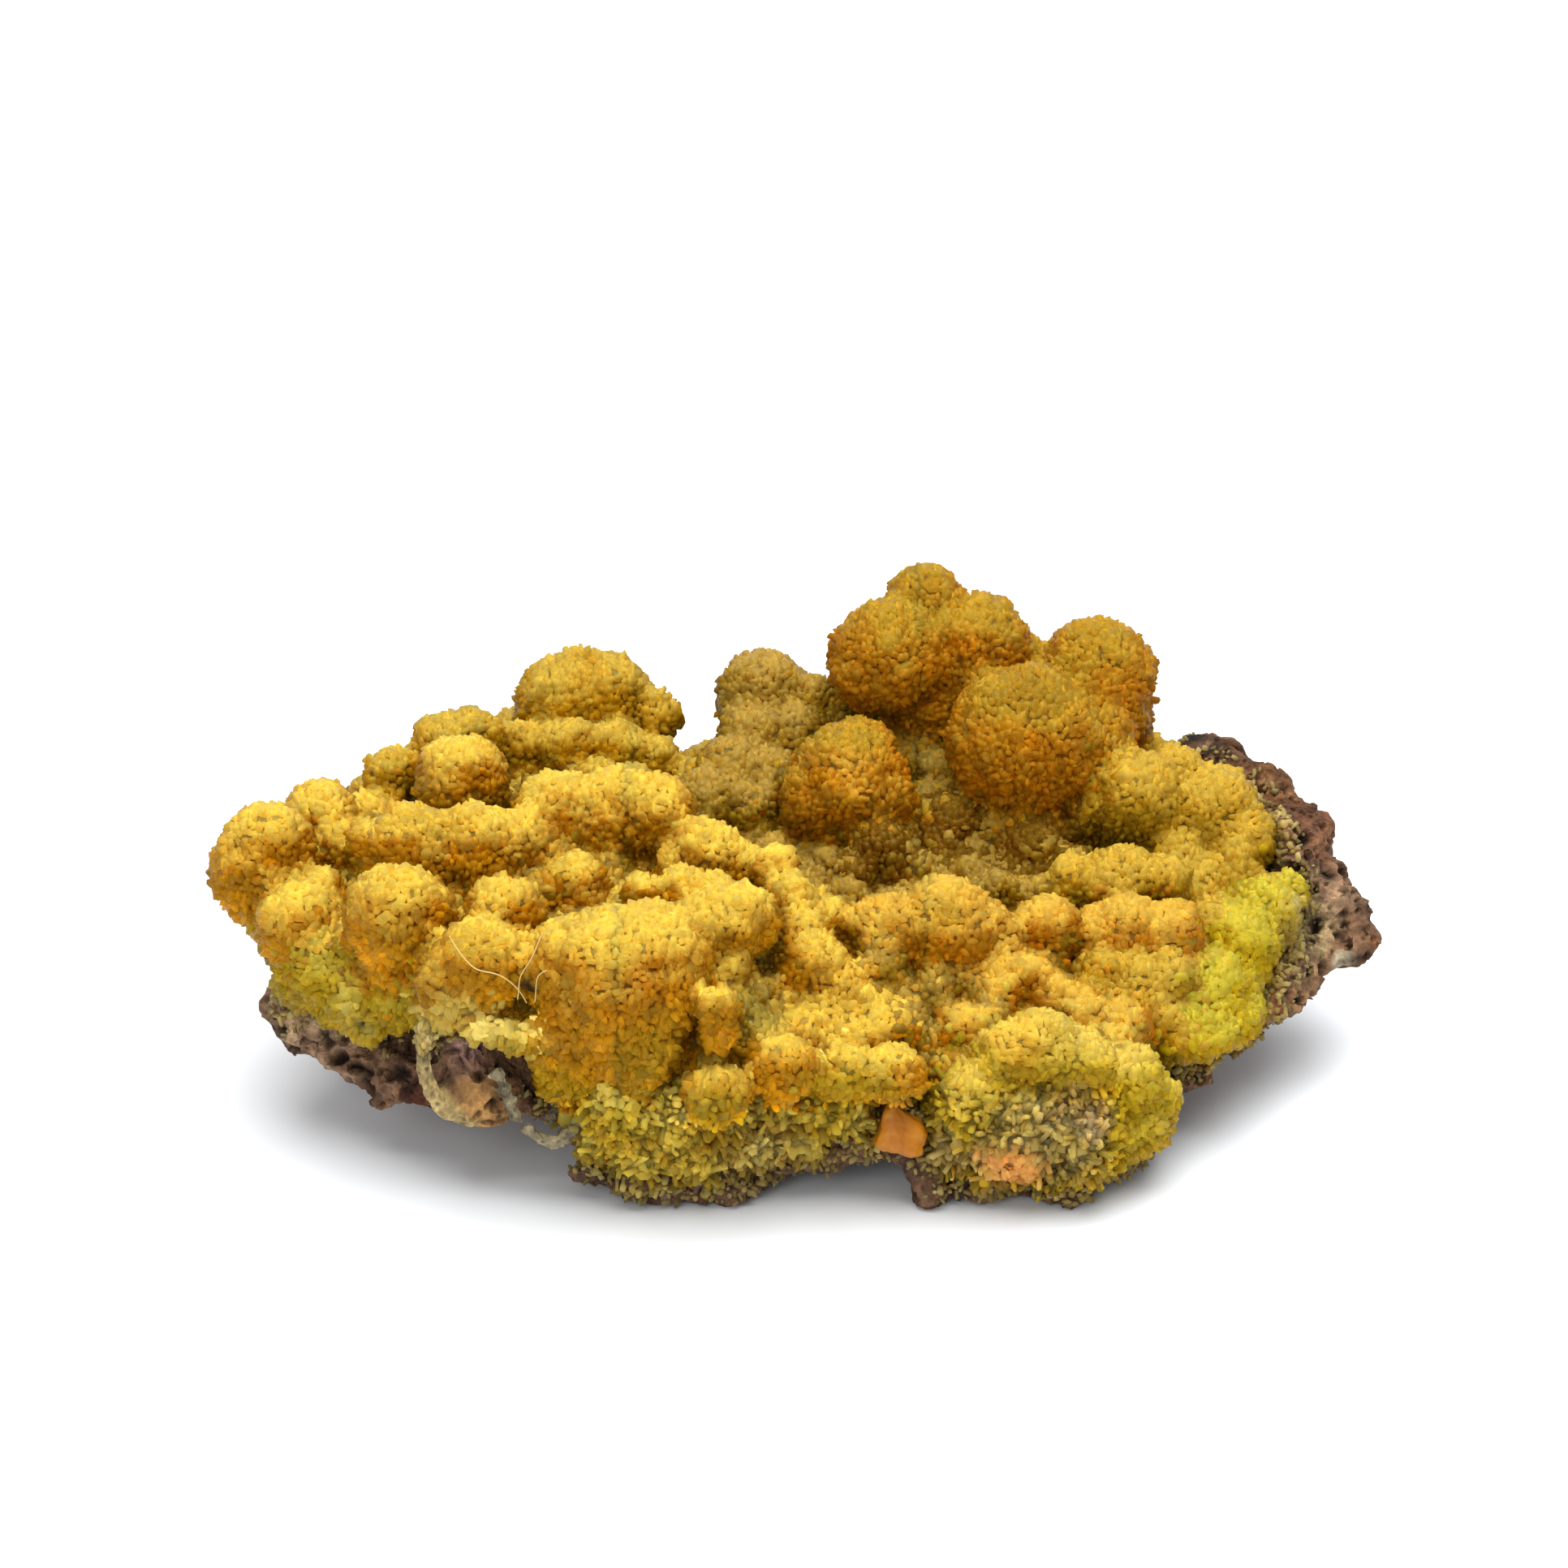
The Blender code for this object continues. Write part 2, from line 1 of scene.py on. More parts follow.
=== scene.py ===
"""Looks for the mimetite specimen: the druse of fine crystals on the golden crust, the porous rock, the orange
grain, a lint fibre, and a pale paper sweep in soft light. Lengths are in millimetres until a mesh is made."""

import math
import random

import bmesh
import bpy
import numpy as np
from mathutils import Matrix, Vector, noise
from mathutils.bvhtree import BVHTree
from mathutils.kdtree import KDTree


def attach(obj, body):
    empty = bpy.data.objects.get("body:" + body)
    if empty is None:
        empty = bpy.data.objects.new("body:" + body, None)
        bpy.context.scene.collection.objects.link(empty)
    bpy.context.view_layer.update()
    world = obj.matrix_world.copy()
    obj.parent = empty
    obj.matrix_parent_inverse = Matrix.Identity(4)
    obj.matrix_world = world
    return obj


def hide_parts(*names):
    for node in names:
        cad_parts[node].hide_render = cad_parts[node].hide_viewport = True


MM = 0.001
SHIFT = Vector((-0.328, -1.464, 0.0))  # from the specimen's drawing to the frame

# The crust under its crystals, in millimetres
INSET = 0.28  # how far the crystals' tips stand out of the body below them
BODY_VOXEL = 0.46
KNOB_SIZE = 1.35  # the small clumps on each ball
KNOB_DEPTH = 0.34
BALL_WOBBLE = 0.08  # how far a ball is from round, as a share of its radius

# The crystals, about 0.3 mm from one to the next as in the specimen, each wider at its root so that they join
CRYSTAL_SPACING = 0.255
EDGE_SPACING = 0.27  # the thin growth over the rock's edge
ROOT_SINK = 0.15  # how deep each crystal stands in the ground it grew on
TOOTH_SHARE = 0.08  # of the crystals, those that stand out from the rest
LONG_SHARE = 0.75  # of the crystals on the broken face, the long ones
FLOOR_CLEARANCE = 0.01  # what lies lower is flattened on the floor
PIECE_TRIANGLES = 190000  # the most in one piece

# Sizes of the patterns in the materials, in millimetres
TINT_CLOUD = 2.4  # where the druse is a little lighter or darker, about half a ball
CRUST_MOTTLE = 1.1  # the stains on the ground between crystals
ROCK_MOTTLE = 1.9  # the lava's brown and mauve blotches
ROCK_GRIT = 0.38  # its mineral grains
ROCK_PINHOLES = 0.53  # from one of its pinholes to the next
WULFENITE_CLOUD = 1.1  # the cloudy zones in the orange grain
PAPER_TOOTH = 1.1  # drawn coarser than the paper's own 0.2, which the picture would not hold

# The orange grain, in millimetres
GRAIN_VOXEL = 0.08
GRAIN_FOOT = 3.1  # the height of its lower side

# The rock, in millimetres
ROCK_VOXEL = 0.24
PORE_COUNT = 4200
PORE_LEAST, PORE_MEAN, PORE_MOST = 0.13, 0.09, 0.8  # their radii

# The camera: degrees above the table, what it looks at, how far off that is, and its lens
CAMERA_RISE = 25
CAMERA_AIM = (-0.7, 0.0, 16.2)
CAMERA_AWAY = 214.7
CAMERA_LENS = 100

# The crust's bed: wide flat lumps that carry the balls, with centre x, y, z, then half-widths
BED_LUMPS = [
    (-19.0, -2.0, 9.7, 7.6, 7.6, 2.4),
    (-11.0, -2.0, 9.7, 9.0, 9.6, 2.7),
    (-14.0, 8.0, 9.8, 7.6, 7.2, 2.7),
    (-4.0, 6.0, 8.4, 9.0, 10.0, 2.6),
    (0.0, -4.5, 7.6, 9.0, 8.0, 2.6),
    (4.0, 12.0, 9.6, 8.6, 5.2, 3.3),
    (10.0, 6.0, 8.1, 9.0, 8.0, 2.6),
    (10.0, -4.5, 6.4, 9.5, 7.5, 2.3),
    (17.0, 1.5, 7.0, 8.0, 8.0, 2.5),
    (17.5, -3.5, 5.9, 6.0, 5.5, 2.0),
    # the broken front face
    (-3.6, -10.6, 6.4, 7.0, 2.6, 3.0),
    (10.2, -9.6, 5.4, 6.6, 3.0, 2.6),
]
FIELD_STEP = 2.5         # spacing of the small balls between the listed ones

# The balls, by the tint that each group of them has: centre x, y, z, then radius
BALLS = {
    "left end": ("gold", [
        (-26.3, -2.0, 12.6, 2.75), (-26.0, -2.0, 13.7, 2.4), (-26.0, -2.5, 11.4, 2.2), (-24.0, 3.0, 12.9, 2.1),
        (-23.0, 1.0, 12.0, 1.8), (-24.0, -6.0, 11.4, 2.4), (-23.3, -4.0, 12.2, 1.4), (-19.1, -8.5, 13.2, 2.7),
        (-19.5, -8.6, 11.2, 2.0), (-15.1, -11.5, 12.2, 2.4), (-16.2, -11.4, 11.0, 2.1), (-14.1, -8.0, 12.9, 2.1),
        (-22.0, 4.5, 11.6, 2.0),
    ]),
    "left apron": ("apron", [
        (-22.9, -7.4, 9.8, 2.0), (-21.2, -8.6, 8.8, 1.8), (-24.2, -6.6, 8.6, 1.6), (-20.8, -9.2, 7.6, 1.2),
        (-19.0, -9.0, 8.8, 1.7), (-17.4, -10.2, 9.8, 1.5), (-25.0, -4.0, 9.6, 1.8), (-22.4, -8.0, 7.8, 1.1),
    ]),
    "wall of the broken bubble": ("cream", [
        (-17.7, -11.8, 9.3, 0.8),
        (-16.6, -12.3, 9.5, 1.0), (-15.2, -12.8, 9.5, 1.0), (-14.0, -12.9, 9.2, 1.0), (-12.9, -13.0, 9.0, 1.1),
    ]),
    "left saddle": ("gold", [
        (-18.8, -2.5, 13.8, 2.5), (-15.7, -2.5, 13.8, 2.5), (-13.7, -2.0, 13.8, 1.9), (-21.1, -1.5, 13.4, 1.5),
        (-16.9, 4.0, 14.4, 2.6), (-11.8, 0.5, 14.0, 2.6), (-9.0, 0.5, 14.2, 2.6), (-7.0, 1.0, 14.1, 2.2),
        (-10.8, -4.5, 12.8, 1.9), (-10.0, 3.5, 12.6, 2.0),
    ]),
    "left back": ("ochre", [
        (-18.1, 9.0, 14.1, 2.0), (-16.8, 9.5, 14.4, 1.8), (-20.7, 7.0, 13.5, 1.6), (-12.3, 14.0, 14.3, 2.6),
        (-9.9, 14.0, 14.6, 2.5), (-11.2, 14.5, 14.8, 2.5), (-7.5, 13.5, 13.8, 1.6), (-14.3, 10.5, 13.4, 1.6),
        (-11.8, 10.0, 13.4, 1.9), (-9.4, 10.5, 13.2, 1.8), (-7.3, 10.5, 12.6, 1.5), (-10.2, 6.5, 13.5, 1.3),
        (-8.4, 5.5, 13.5, 1.4), (-5.8, 10.0, 11.6, 1.4),
    ]),
    "back middle": ("olive_gold", [
        (-1.8, 15.0, 14.3, 2.6), (0.7, 14.5, 14.3, 1.6), (-2.2, 12.5, 13.1, 2.1), (-0.1, 12.5, 13.1, 1.9),
        (-3.5, 9.5, 12.4, 2.0), (-1.4, 9.5, 12.0, 1.8), (-4.7, 7.0, 12.0, 1.9), (-2.6, 7.0, 11.4, 1.7),
        (2.0, 14.0, 13.4, 1.4),
    ]),
    "crown": ("amber", [
        (4.7, 12.5, 17.5, 3.25), (9.2, 13.5, 17.4, 3.1), (6.6, 15.3, 19.3, 2.35), (9.6, 15.0, 18.4, 1.9),
        (6.9, 13.0, 15.4, 2.6), (6.4, 12.4, 13.2, 1.9), (15.4, 12.0, 16.7, 3.25), (16.1, 11.5, 14.6, 2.5),
        (15.6, 11.0, 12.6, 2.2), (11.6, 8.0, 14.8, 4.2), (14.6, 8.5, 14.4, 2.9), (12.3, 13.5, 16.2, 2.0),
    ]),
    "ball in front of the crown": ("amber", [
        (2.6, 6.5, 13.2, 3.1), (0.9, 6.0, 12.5, 2.0), (4.1, 6.0, 12.5, 2.1), (3.0, 7.0, 14.4, 2.2),
    ]),
    "below the crown": ("olive_amber", [
        (4.2, 3.5, 10.8, 1.6), (2.9, 2.5, 9.9, 1.2), (7.8, 6.0, 10.9, 2.0), (7.5, 5.0, 10.0, 1.7),
        (12.0, 4.0, 10.5, 1.8), (14.8, 6.0, 11.6, 1.7),
    ]),
    "right shoulder": ("straw", [
        (17.2, 5.5, 12.7, 2.7), (21.0, 6.0, 11.7, 2.8), (19.1, 7.0, 13.2, 1.9), (22.5, 4.5, 10.9, 2.0),
        (14.1, 0.5, 10.3, 1.9), (16.1, 0.5, 10.5, 2.1), (18.1, 0.5, 10.3, 1.8), (19.1, 3.0, 10.3, 1.7),
        (22.0, 3.0, 10.1, 1.7), (20.4, 2.0, 9.4, 1.7),
    ]),
    "right flank": ("lemon", [
        (23.4, 0.0, 9.1, 1.9), (22.0, -2.0, 8.1, 2.0), (20.6, -4.5, 6.9, 2.0), (19.3, -6.3, 6.0, 1.7),
        (24.3, 1.0, 9.6, 1.4),
    ]),
    "right flank, towards the centre": ("straw", [
        (16.4, -6.3, 8.3, 1.7), (18.1, -5.3, 8.3, 1.8), (17.6, -7.0, 6.7, 1.6), (14.9, -6.5, 8.9, 1.5),
        (20.8, -1.0, 8.6, 1.7),
    ]),
    "centre": ("orange_gold", [
        (16.2, -3.5, 9.9, 2.0), (18.2, -3.5, 9.6, 2.0), (15.0, -3.5, 9.6, 1.7), (12.2, -4.5, 10.5, 1.8),
        (7.2, -5.5, 11.2, 2.5), (4.4, -5.5, 10.8, 2.1), (8.9, -5.5, 10.5, 2.0), (11.2, -7.5, 9.5, 1.3),
        (9.7, -8.0, 8.8, 1.4), (12.4, -8.0, 8.6, 1.4), (7.9, -10.0, 8.1, 1.3), (13.5, -9.0, 8.0, 1.5),
        (15.7, -8.8, 7.4, 1.5),
    ]),
    "ridge left of the centre": ("gold", [
        (0.6, -8.0, 10.2, 1.9), (2.2, -8.5, 8.8, 1.9), (3.8, -9.5, 7.9, 1.5), (0.2, -7.0, 11.4, 1.5),
        (-0.5, -5.0, 12.1, 1.7), (1.4, -5.0, 11.2, 1.4), (-4.5, -2.0, 13.2, 2.0), (-3.3, -2.0, 12.4, 1.8),
        (-5.9, -2.5, 12.8, 1.4), (-1.1, -3.0, 13.0, 1.4), (-7.6, -7.0, 13.6, 1.3), (-5.6, -7.0, 13.8, 1.4),
        (-4.1, -7.0, 13.6, 1.3), (-4.0, -9.0, 12.9, 2.1), (-2.7, -8.5, 13.0, 1.9), (-3.4, -10.0, 11.2, 1.5),
    ]),
    "front boss": ("gold", [
        (-8.4, -12.0, 11.5, 3.9), (-7.1, -11.5, 12.1, 3.2), (-9.8, -12.4, 9.6, 2.9), (-10.9, -12.8, 8.4, 2.1),
        (-7.8, -13.2, 8.8, 2.5), (-10.9, -11.5, 12.0, 2.5), (-3.8, -14.2, 11.2, 1.25), (-3.7, -14.3, 10.0, 1.2),
        (-3.9, -15.0, 7.1, 1.7),
        (-0.7, -14.0, 7.9, 1.8), (2.3, -13.6, 7.4, 1.6), (4.6, -13.6, 7.4, 1.65), (-2.0, -12.0, 8.2, 1.8),
        (-11.0, -12.6, 6.9, 1.8), (-3.6, -11.4, 9.6, 1.6),
    ]),
    "front left foot": ("broken", [
        (-8.2, -13.4, 5.8, 2.3), (-6.0, -13.0, 4.2, 2.2), (-7.5, -12.8, 2.9, 1.9), (-4.8, -12.8, 2.8, 1.9),
        (-2.1, -12.6, 3.2, 1.7), (0.2, -12.6, 3.6, 1.4), (-9.6, -12.8, 3.4, 1.4), (2.2, -12.9, 4.9, 1.5),
        (-3.8, -13.2, 5.2, 2.0), (-1.2, -12.9, 5.6, 1.8), (0.9, -12.9, 5.4, 1.6), (-10.8, -12.3, 4.4, 1.2),
        (3.2, -12.8, 4.2, 1.0),
    ]),
    "front right foot": ("lemon_pale", [
        (9.9, -12.4, 7.7, 1.8), (11.6, -12.0, 8.0, 2.0), (13.4, -12.0, 7.0, 2.0), (15.8, -11.3, 5.8, 2.0),
        (17.2, -10.8, 4.6, 1.4), (8.3, -13.0, 5.2, 2.2), (10.7, -12.8, 3.9, 2.6), (13.5, -12.4, 3.4, 2.5),
        (16.0, -11.4, 3.2, 1.9), (7.3, -12.9, 3.1, 1.3), (7.4, -12.2, 2.2, 1.2), (9.2, -13.0, 2.4, 1.5),
        (12.2, -12.9, 2.2, 1.6), (17.4, -10.8, 3.2, 1.1),
    ]),
    "back rim, out of sight from the front": ("ochre", [
        (-18.0, 12.0, 11.6, 2.2), (-14.5, 15.0, 11.4, 2.3), (-9.5, 16.6, 11.6, 2.3), (-5.0, 14.6, 9.8, 1.9),
        (-1.0, 16.8, 11.4, 2.3), (3.5, 16.6, 12.4, 2.4), (8.0, 17.0, 14.4, 2.6), (12.0, 15.8, 12.8, 2.4),
        (15.8, 14.6, 12.8, 2.4), (18.4, 11.5, 11.6, 2.0), (-21.5, 8.8, 11.0, 1.9), (-24.0, 5.6, 10.8, 1.7),
        (-12.0, 16.4, 9.6, 1.9), (-3.0, 16.6, 9.4, 1.8), (5.5, 17.2, 10.6, 2.2), (11.0, 16.8, 10.2, 2.0),
    ]),
}

# Each tint as the colour deep in a crevice, on a slope, and on a crest; the blend between them by facing and openness
# is partly the crystals' own paler tips and partly painted light and shade
TINTS = {
    "gold": ("#C18300", "#885600", "#AE963A"),
    "orange_gold": ("#C37500", "#885300", "#AA8D36"),
    "amber": ("#B46B00", "#8A5500", "#876C1A"),
    "ochre": ("#AA7E00", "#8D6500", "#998230"),
    "olive_gold": ("#876708", "#715608", "#876F30"),
    "olive_amber": ("#643D01", "#5A3702", "#5C430B"),
    "olive": ("#5C4908", "#60520E", "#776A2D"),
    "straw": ("#967106", "#856408", "#9C832F"),
    "lemon": ("#9C7C00", "#907A00", "#978E2C"),
    "lemon_pale": ("#A7871A", "#978116", "#A79442"),
    "apron": ("#A1860E", "#8F7A17", "#988C3A"),
    "cream": ("#B09A48", "#CCB862", "#D6C878"),
    "broken": ("#7A6114", "#AF9C3E", "#D8C666"),
    "grey": ("#5E503F", "#8D8162", "#B8AC8D"),
    "deep_gold": ("#E09A10", "#D49614", "#D8B454"),
    "sage": ("#5A4A1E", "#86784A", "#A8985C"),
    "mauve": ("#5A4638", "#937A66", "#AE967E"),
    "peach": ("#BC7F44", "#BC8E52", "#BC8C5A"),
    "tan": ("#57462C", "#7C6A42", "#A08C5A"),
}

# Places with a tint of their own, and one of painted light: centre x, y, z, reach, tint, strength
PATCHES = [
    (14.2, -12.6, 4.6, 3.0, "lemon_pale", 0.4),
    (16.2, -11.6, 5.2, 2.4, "lemon", 0.8),
    (11.4, -14.6, 3.8, 3.9, "sage", 0.9),
    (7.4, -13.6, 3.4, 2.0, "grey", 0.6),
    (-1.6, -13.6, 3.0, 3.0, "grey", 0.35),
    (-8.6, -15.0, 4.6, 2.6, "broken", 0.2),
    (-3.9, -16.2, 7.4, 1.6, "straw", 0.7),
    (-11.6, -14.2, 6.6, 2.2, "lemon", 0.8),
    (-9.0, -14.6, 5.0, 2.6, "lemon_pale", 0.8),
    (-8.0, -14.6, 3.2, 2.6, "broken", 0.4),
    (-7.7, -15.5, 14.0, 2.0, "amber", 0.5),
    (11.6, 6.4, 18.8, 2.4, "olive_amber", 0.4),
    (8.7, -15.0, 5.3, 1.4, "olive", 0.4),
    (3.4, -14.4, 5.2, 1.7, "cream", 0.6),
    (5.6, -14.4, 3.4, 1.2, "grey", 0.7),
    (-16.4, -12.8, 9.2, 1.9, "cream", 0.85),
    (-17.8, -11.8, 8.0, 1.8, "cream", 0.8),
    (-13.4, -13.0, 9.0, 1.6, "lemon_pale", 0.7),
    (-24.6, -6.4, 7.6, 2.0, "grey", 0.6),
    (-25.6, -4.6, 8.6, 1.6, "olive", 0.6),
    (24.6, 0.0, 8.2, 2.2, "grey", 0.5),
    (7.2, -6.6, 11.6, 2.6, "orange_gold", 0.9),
    (-8.2, -15.2, 12.6, 2.2, "orange_gold", 0.8),
    (-6.6, -15.8, 9.4, 2.4, "apron", 0.5),
    (-1.8, -12.0, 9.6, 2.0, "olive", 0.9),
    (-3.4, -13.4, 8.4, 1.2, "olive", 0.7),
    (22.0, -3.2, 9.0, 2.6, "lemon", 0.8),
    (4.9, -14.6, 5.6, 1.4, "grey", 0.8),
    (4.0, -14.9, 3.8, 1.1, "cream", 0.7),
    (2.2, -15.2, 6.3, 3.2, "apron", 0.8),
    (-3.9, -16.0, 6.2, 2.0, "apron", 0.7),
    (10.2, -12.8, 9.4, 2.2, "gold", 0.8),
    (12.6, -14.2, 6.2, 1.4, "peach", 0.35),
    (13.9, -14.0, 5.2, 1.6, "mauve", 0.55),
    (10.0, -15.0, 2.8, 2.0, "peach", 1.0),
    # Painted light: lightens the ball in front of the crown, where the crown shades it
    (2.3, 3.8, 14.4, 2.2, "deep_gold", 0.35),
    (-20.1, -10.8, 12.0, 1.5, "deep_gold", 0.5),
    (-21.3, -10.0, 7.7, 1.6, "cream", 0.35),
    (-15.6, -13.0, 13.6, 2.2, "amber", 0.45),
    (-17.6, -3.2, 16.2, 3.0, "amber", 0.3),
    (7.1, -7.6, 12.8, 1.8, "amber", 0.6),
    (-11.3, 11.6, 14.0, 1.8, "olive_gold", 0.4),
    (-7.7, -15.8, 8.2, 1.5, "olive", 0.6),
    (-16.4, -13.2, 10.6, 1.4, "cream", 0.8),
]

# The rock's own colours, and the places that differ: centre x, y, z, reach, colour, strength
ROCK_COLOUR = "#7C6048"
ROCK_PATCHES = [
    (24.0, 8.0, 12.6, 3.6, "#74502F", 0.8),
    (26.2, 5.0, 11.0, 2.4, "#7A4E34", 0.5),
    (24.8, 6.6, 13.2, 0.9, "#F0CE98", 1.0),
    (20.9, 10.4, 14.8, 1.6, "#1C1410", 1.0),
    (27.4, 0.2, 6.2, 0.8, "#A9A48E", 0.8),
    (29.2, 1.0, 6.8, 0.7, "#9A6844", 0.8),
    (25.6, 0.6, 8.4, 2.2, "#BCA87C", 0.8),
    (24.0, -2.6, 6.6, 2.4, "#AE8A60", 0.6),
    (24.4, -1.6, 9.2, 1.6, "#C8B888", 0.8),
    (26.6, 1.0, 9.6, 2.2, "#B49878", 0.6),
    (24.2, -4.0, 5.6, 1.2, "#7A3A22", 0.6),
    (-15.4, -12.8, 8.2, 1.9, "#A08078", 0.9),
    (-15.0, -12.6, 5.0, 2.0, "#A8824E", 0.9),
    (-11.8, -13.4, 5.0, 1.6, "#8A8068", 0.9),
    (-23.6, -7.6, 6.4, 3.4, "#A88E74", 0.8),
    (-18.4, -10.4, 4.6, 1.2, "#5E2A1A", 0.8),
    (-7.0, -14.0, 1.0, 4.0, "#5A423A", 0.7),
    (17.6, -9.6, 1.2, 2.0, "#54302A", 0.8),
    (4.6, -14.0, 2.6, 2.0, "#4A3634", 0.7),
]

# Pores and pits that the eye finds first: place, then radius
ROCK_PITS = [
    (21.2, 8.5, 14.3, 0.24), (22.9, 8.0, 14.0, 0.22), (22.5, 7.5, 13.6, 0.23), (23.1, 7.0, 12.9, 0.32),
    (23.6, 6.0, 12.4, 0.29), (24.9, 5.5, 12.4, 0.26), (24.3, 4.0, 11.3, 0.30), (26.3, 4.0, 10.9, 0.23),
    (28.5, 0.5, 7.8, 0.30), (28.2, 1.0, 8.6, 0.20), (25.2, -1.5, 7.8, 0.43), (24.5, -2.0, 7.6, 0.32),
    (24.6, -4.0, 6.4, 0.26), (-19.9, -9.8, 5.7, 0.54), (-19.1, -10.0, 5.6, 0.36), (-23.8, -7.6, 5.7, 0.23),
    (-22.4, -8.0, 6.4, 0.30), (-22.9, -8.0, 5.4, 0.29), (-18.5, -10.3, 5.1, 0.36),
]

# Where the crust is hollowed from the front: the orange grain's cavity, the gap above it, and the broken bubble
CRUST_HOLLOWS = [(4.9, -13.7, 4.6, 1.55), (5.9, -13.4, 5.9, 0.8), (-13.4, -12.9, 7.2, 1.0)]

# The broken front face, where longer crystals stand at all angles: x from, x to, in front of y, below z
BROKEN_FACE = (-11.5, 15.5, -10.5, 6.6)

# Where the crust leaves a gap that the eye looks into, painted nearly black there as shade, where the rock stays
# bare, and a patch of the broken face whose crystals stay short: place, then reach
PAINTED_SHADE_HOLES = [
    (-13.3, -12.6, 7.6, 1.0), (-13.1, -12.8, 6.7, 0.8), (5.9, -14.7, 5.8, 0.8), (5.4, -15.0, 6.2, 0.8),
    (-12.7, -12.6, 11.6, 0.6), (-22.2, -9.0, 9.2, 0.4), (-21.0, -9.8, 8.0, 0.35),
]
BARE = [(-15.4, -13.0, 6.3, 2.2), (-12.2, -13.8, 4.6, 1.6), (-17.8, -12.6, 6.4, 1.6), (4.9, -14.9, 4.3, 0.9)]
SMOOTH = [(10.0, -15.0, 2.8, 1.5)]

# The lower half of the nodule in the broken bubble: centre, then half-widths
NODULE = [(-15.2, -11.5, 5.2, 2.2, 1.6, 1.7)]

# Small parts of the rock that stand clear of it, each a chain of beads, and the grooves on the nodule: place, then
# radius
THIN_WALL = [
    (-17.6, -12.3, 9.2, 0.50), (-17.7, -12.5, 8.7, 0.46), (-17.8, -12.6, 8.2, 0.44), (-17.8, -12.6, 7.7, 0.42),
    (-17.8, -12.6, 7.2, 0.42), (-17.7, -12.6, 6.7, 0.42), (-17.6, -12.6, 6.2, 0.42), (-17.4, -12.6, 5.7, 0.44),
    (-17.2, -12.6, 5.3, 0.46), (-16.8, -12.6, 4.9, 0.46), (-16.4, -12.5, 4.6, 0.46), (-15.9, -12.4, 4.3, 0.46),
]
STRAND = [
    (-14.3, -13.3, 7.2, 0.42), (-14.0, -13.4, 6.5, 0.42), (-13.7, -13.5, 5.8, 0.38), (-13.5, -13.5, 5.1, 0.36),
    (-12.9, -13.6, 4.4, 0.36), (-12.3, -13.6, 3.9, 0.38), (-11.6, -13.6, 3.7, 0.40), (-11.0, -13.5, 4.0, 0.42),
    (-10.4, -13.3, 4.5, 0.42),
]
CHAIN_COLOURS = [(THIN_WALL, "#CCBA80"), (STRAND, "#A09A7C")]
NODULE_GROOVE = [
    (-16.5, -13.0, 7.9, 0.24), (-16.2, -13.1, 8.3, 0.24), (-15.8, -13.1, 8.4, 0.24), (-15.5, -13.1, 8.1, 0.24),
    (-15.6, -13.1, 7.6, 0.24), (-15.2, -13.0, 7.7, 0.22), (-14.8, -13.0, 8.0, 0.24), (-16.3, -13.0, 7.4, 0.26),
    (-15.9, -13.1, 7.0, 0.20), (-15.2, -13.0, 6.9, 0.22),
]


def linear(colour):
    """An sRGB hex colour as linear RGB."""
    values = [int(colour[i : i + 2], 16) / 255 for i in (1, 3, 5)]
    return [v / 12.92 if v <= 0.04045 else ((v + 0.055) / 1.055) ** 2.4 for v in values]


def add(tree, kind, place=(0, 0), links=(), **settings):
    """Adds a node, with its properties, socket values and incoming links."""
    node = tree.nodes.new(kind)
    node.location = place
    for key, value in settings.items():
        if hasattr(node, key):
            setattr(node, key, value)
        else:
            node.inputs[key.replace("_", " ")].default_value = value
    for source, socket in links:
        tree.links.new(source, node.inputs[socket])
    return node


def in_frame(place):
    """A place in the drawing, as a place in the frame."""
    return (Vector(place) + SHIFT) * MM


def link(name, mesh):
    obj = bpy.data.objects.new(name, mesh)
    bpy.context.scene.collection.objects.link(obj)
    return obj


def copy_of(node, name):
    """One of the frame's solids, copied and laid out in the drawing's millimetres."""
    obj = link(name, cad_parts[node].data.copy())
    obj.data.materials.clear()
    set_coordinates(obj.data, coordinates(obj.data) / MM - np.array(SHIFT))
    return obj


def to_frame(obj):
    """Lays a finished piece out in the frame's metres."""
    set_coordinates(obj.data, (coordinates(obj.data) + np.array(SHIFT)) * MM)


def apply_modifiers(obj):
    graph = bpy.context.evaluated_depsgraph_get()
    mesh = bpy.data.meshes.new_from_object(obj.evaluated_get(graph))
    obj.modifiers.clear()
    obj.data = mesh


def remesh(obj, voxel):
    """Gives the piece one closed skin of small even faces."""
    modifier = obj.modifiers.new("skin", "REMESH")
    modifier.mode = "VOXEL"
    modifier.voxel_size = voxel
    apply_modifiers(obj)


def coordinates(mesh, kind="co"):
    found = np.empty(len(mesh.vertices) * 3)
    mesh.vertices.foreach_get(kind, found)
    return found.reshape(-1, 3)


def vertex_normals(mesh):
    return coordinates(mesh, "normal")


def set_coordinates(mesh, points):
    mesh.vertices.foreach_set("co", np.ascontiguousarray(points, np.float32).ravel())
    mesh.update()


def triangles(mesh):
    mesh.calc_loop_triangles()
    found = np.empty(len(mesh.loop_triangles) * 3, np.int32)
    mesh.loop_triangles.foreach_get("vertices", found)
    return found.reshape(-1, 3)


def tree_of(obj):
    return BVHTree.FromPolygons(coordinates(obj.data).tolist(), triangles(obj.data).tolist())


def unit(rows):
    return rows / np.linalg.norm(rows, axis=1)[:, None]


def clouds(points, size):
    """Smooth noise at each point, in clouds of the size given in millimetres."""
    return np.array([noise.noise(Vector(place) / size) for place in points])


def distance_from(points, place):
    return np.linalg.norm(points - np.array(place), axis=1)


def outside(places, regions):
    """Whether each place lies outside all the round regions."""
    found = np.ones(len(places), bool)
    for *centre, reach in regions:
        found &= distance_from(places, centre) > reach
    return found


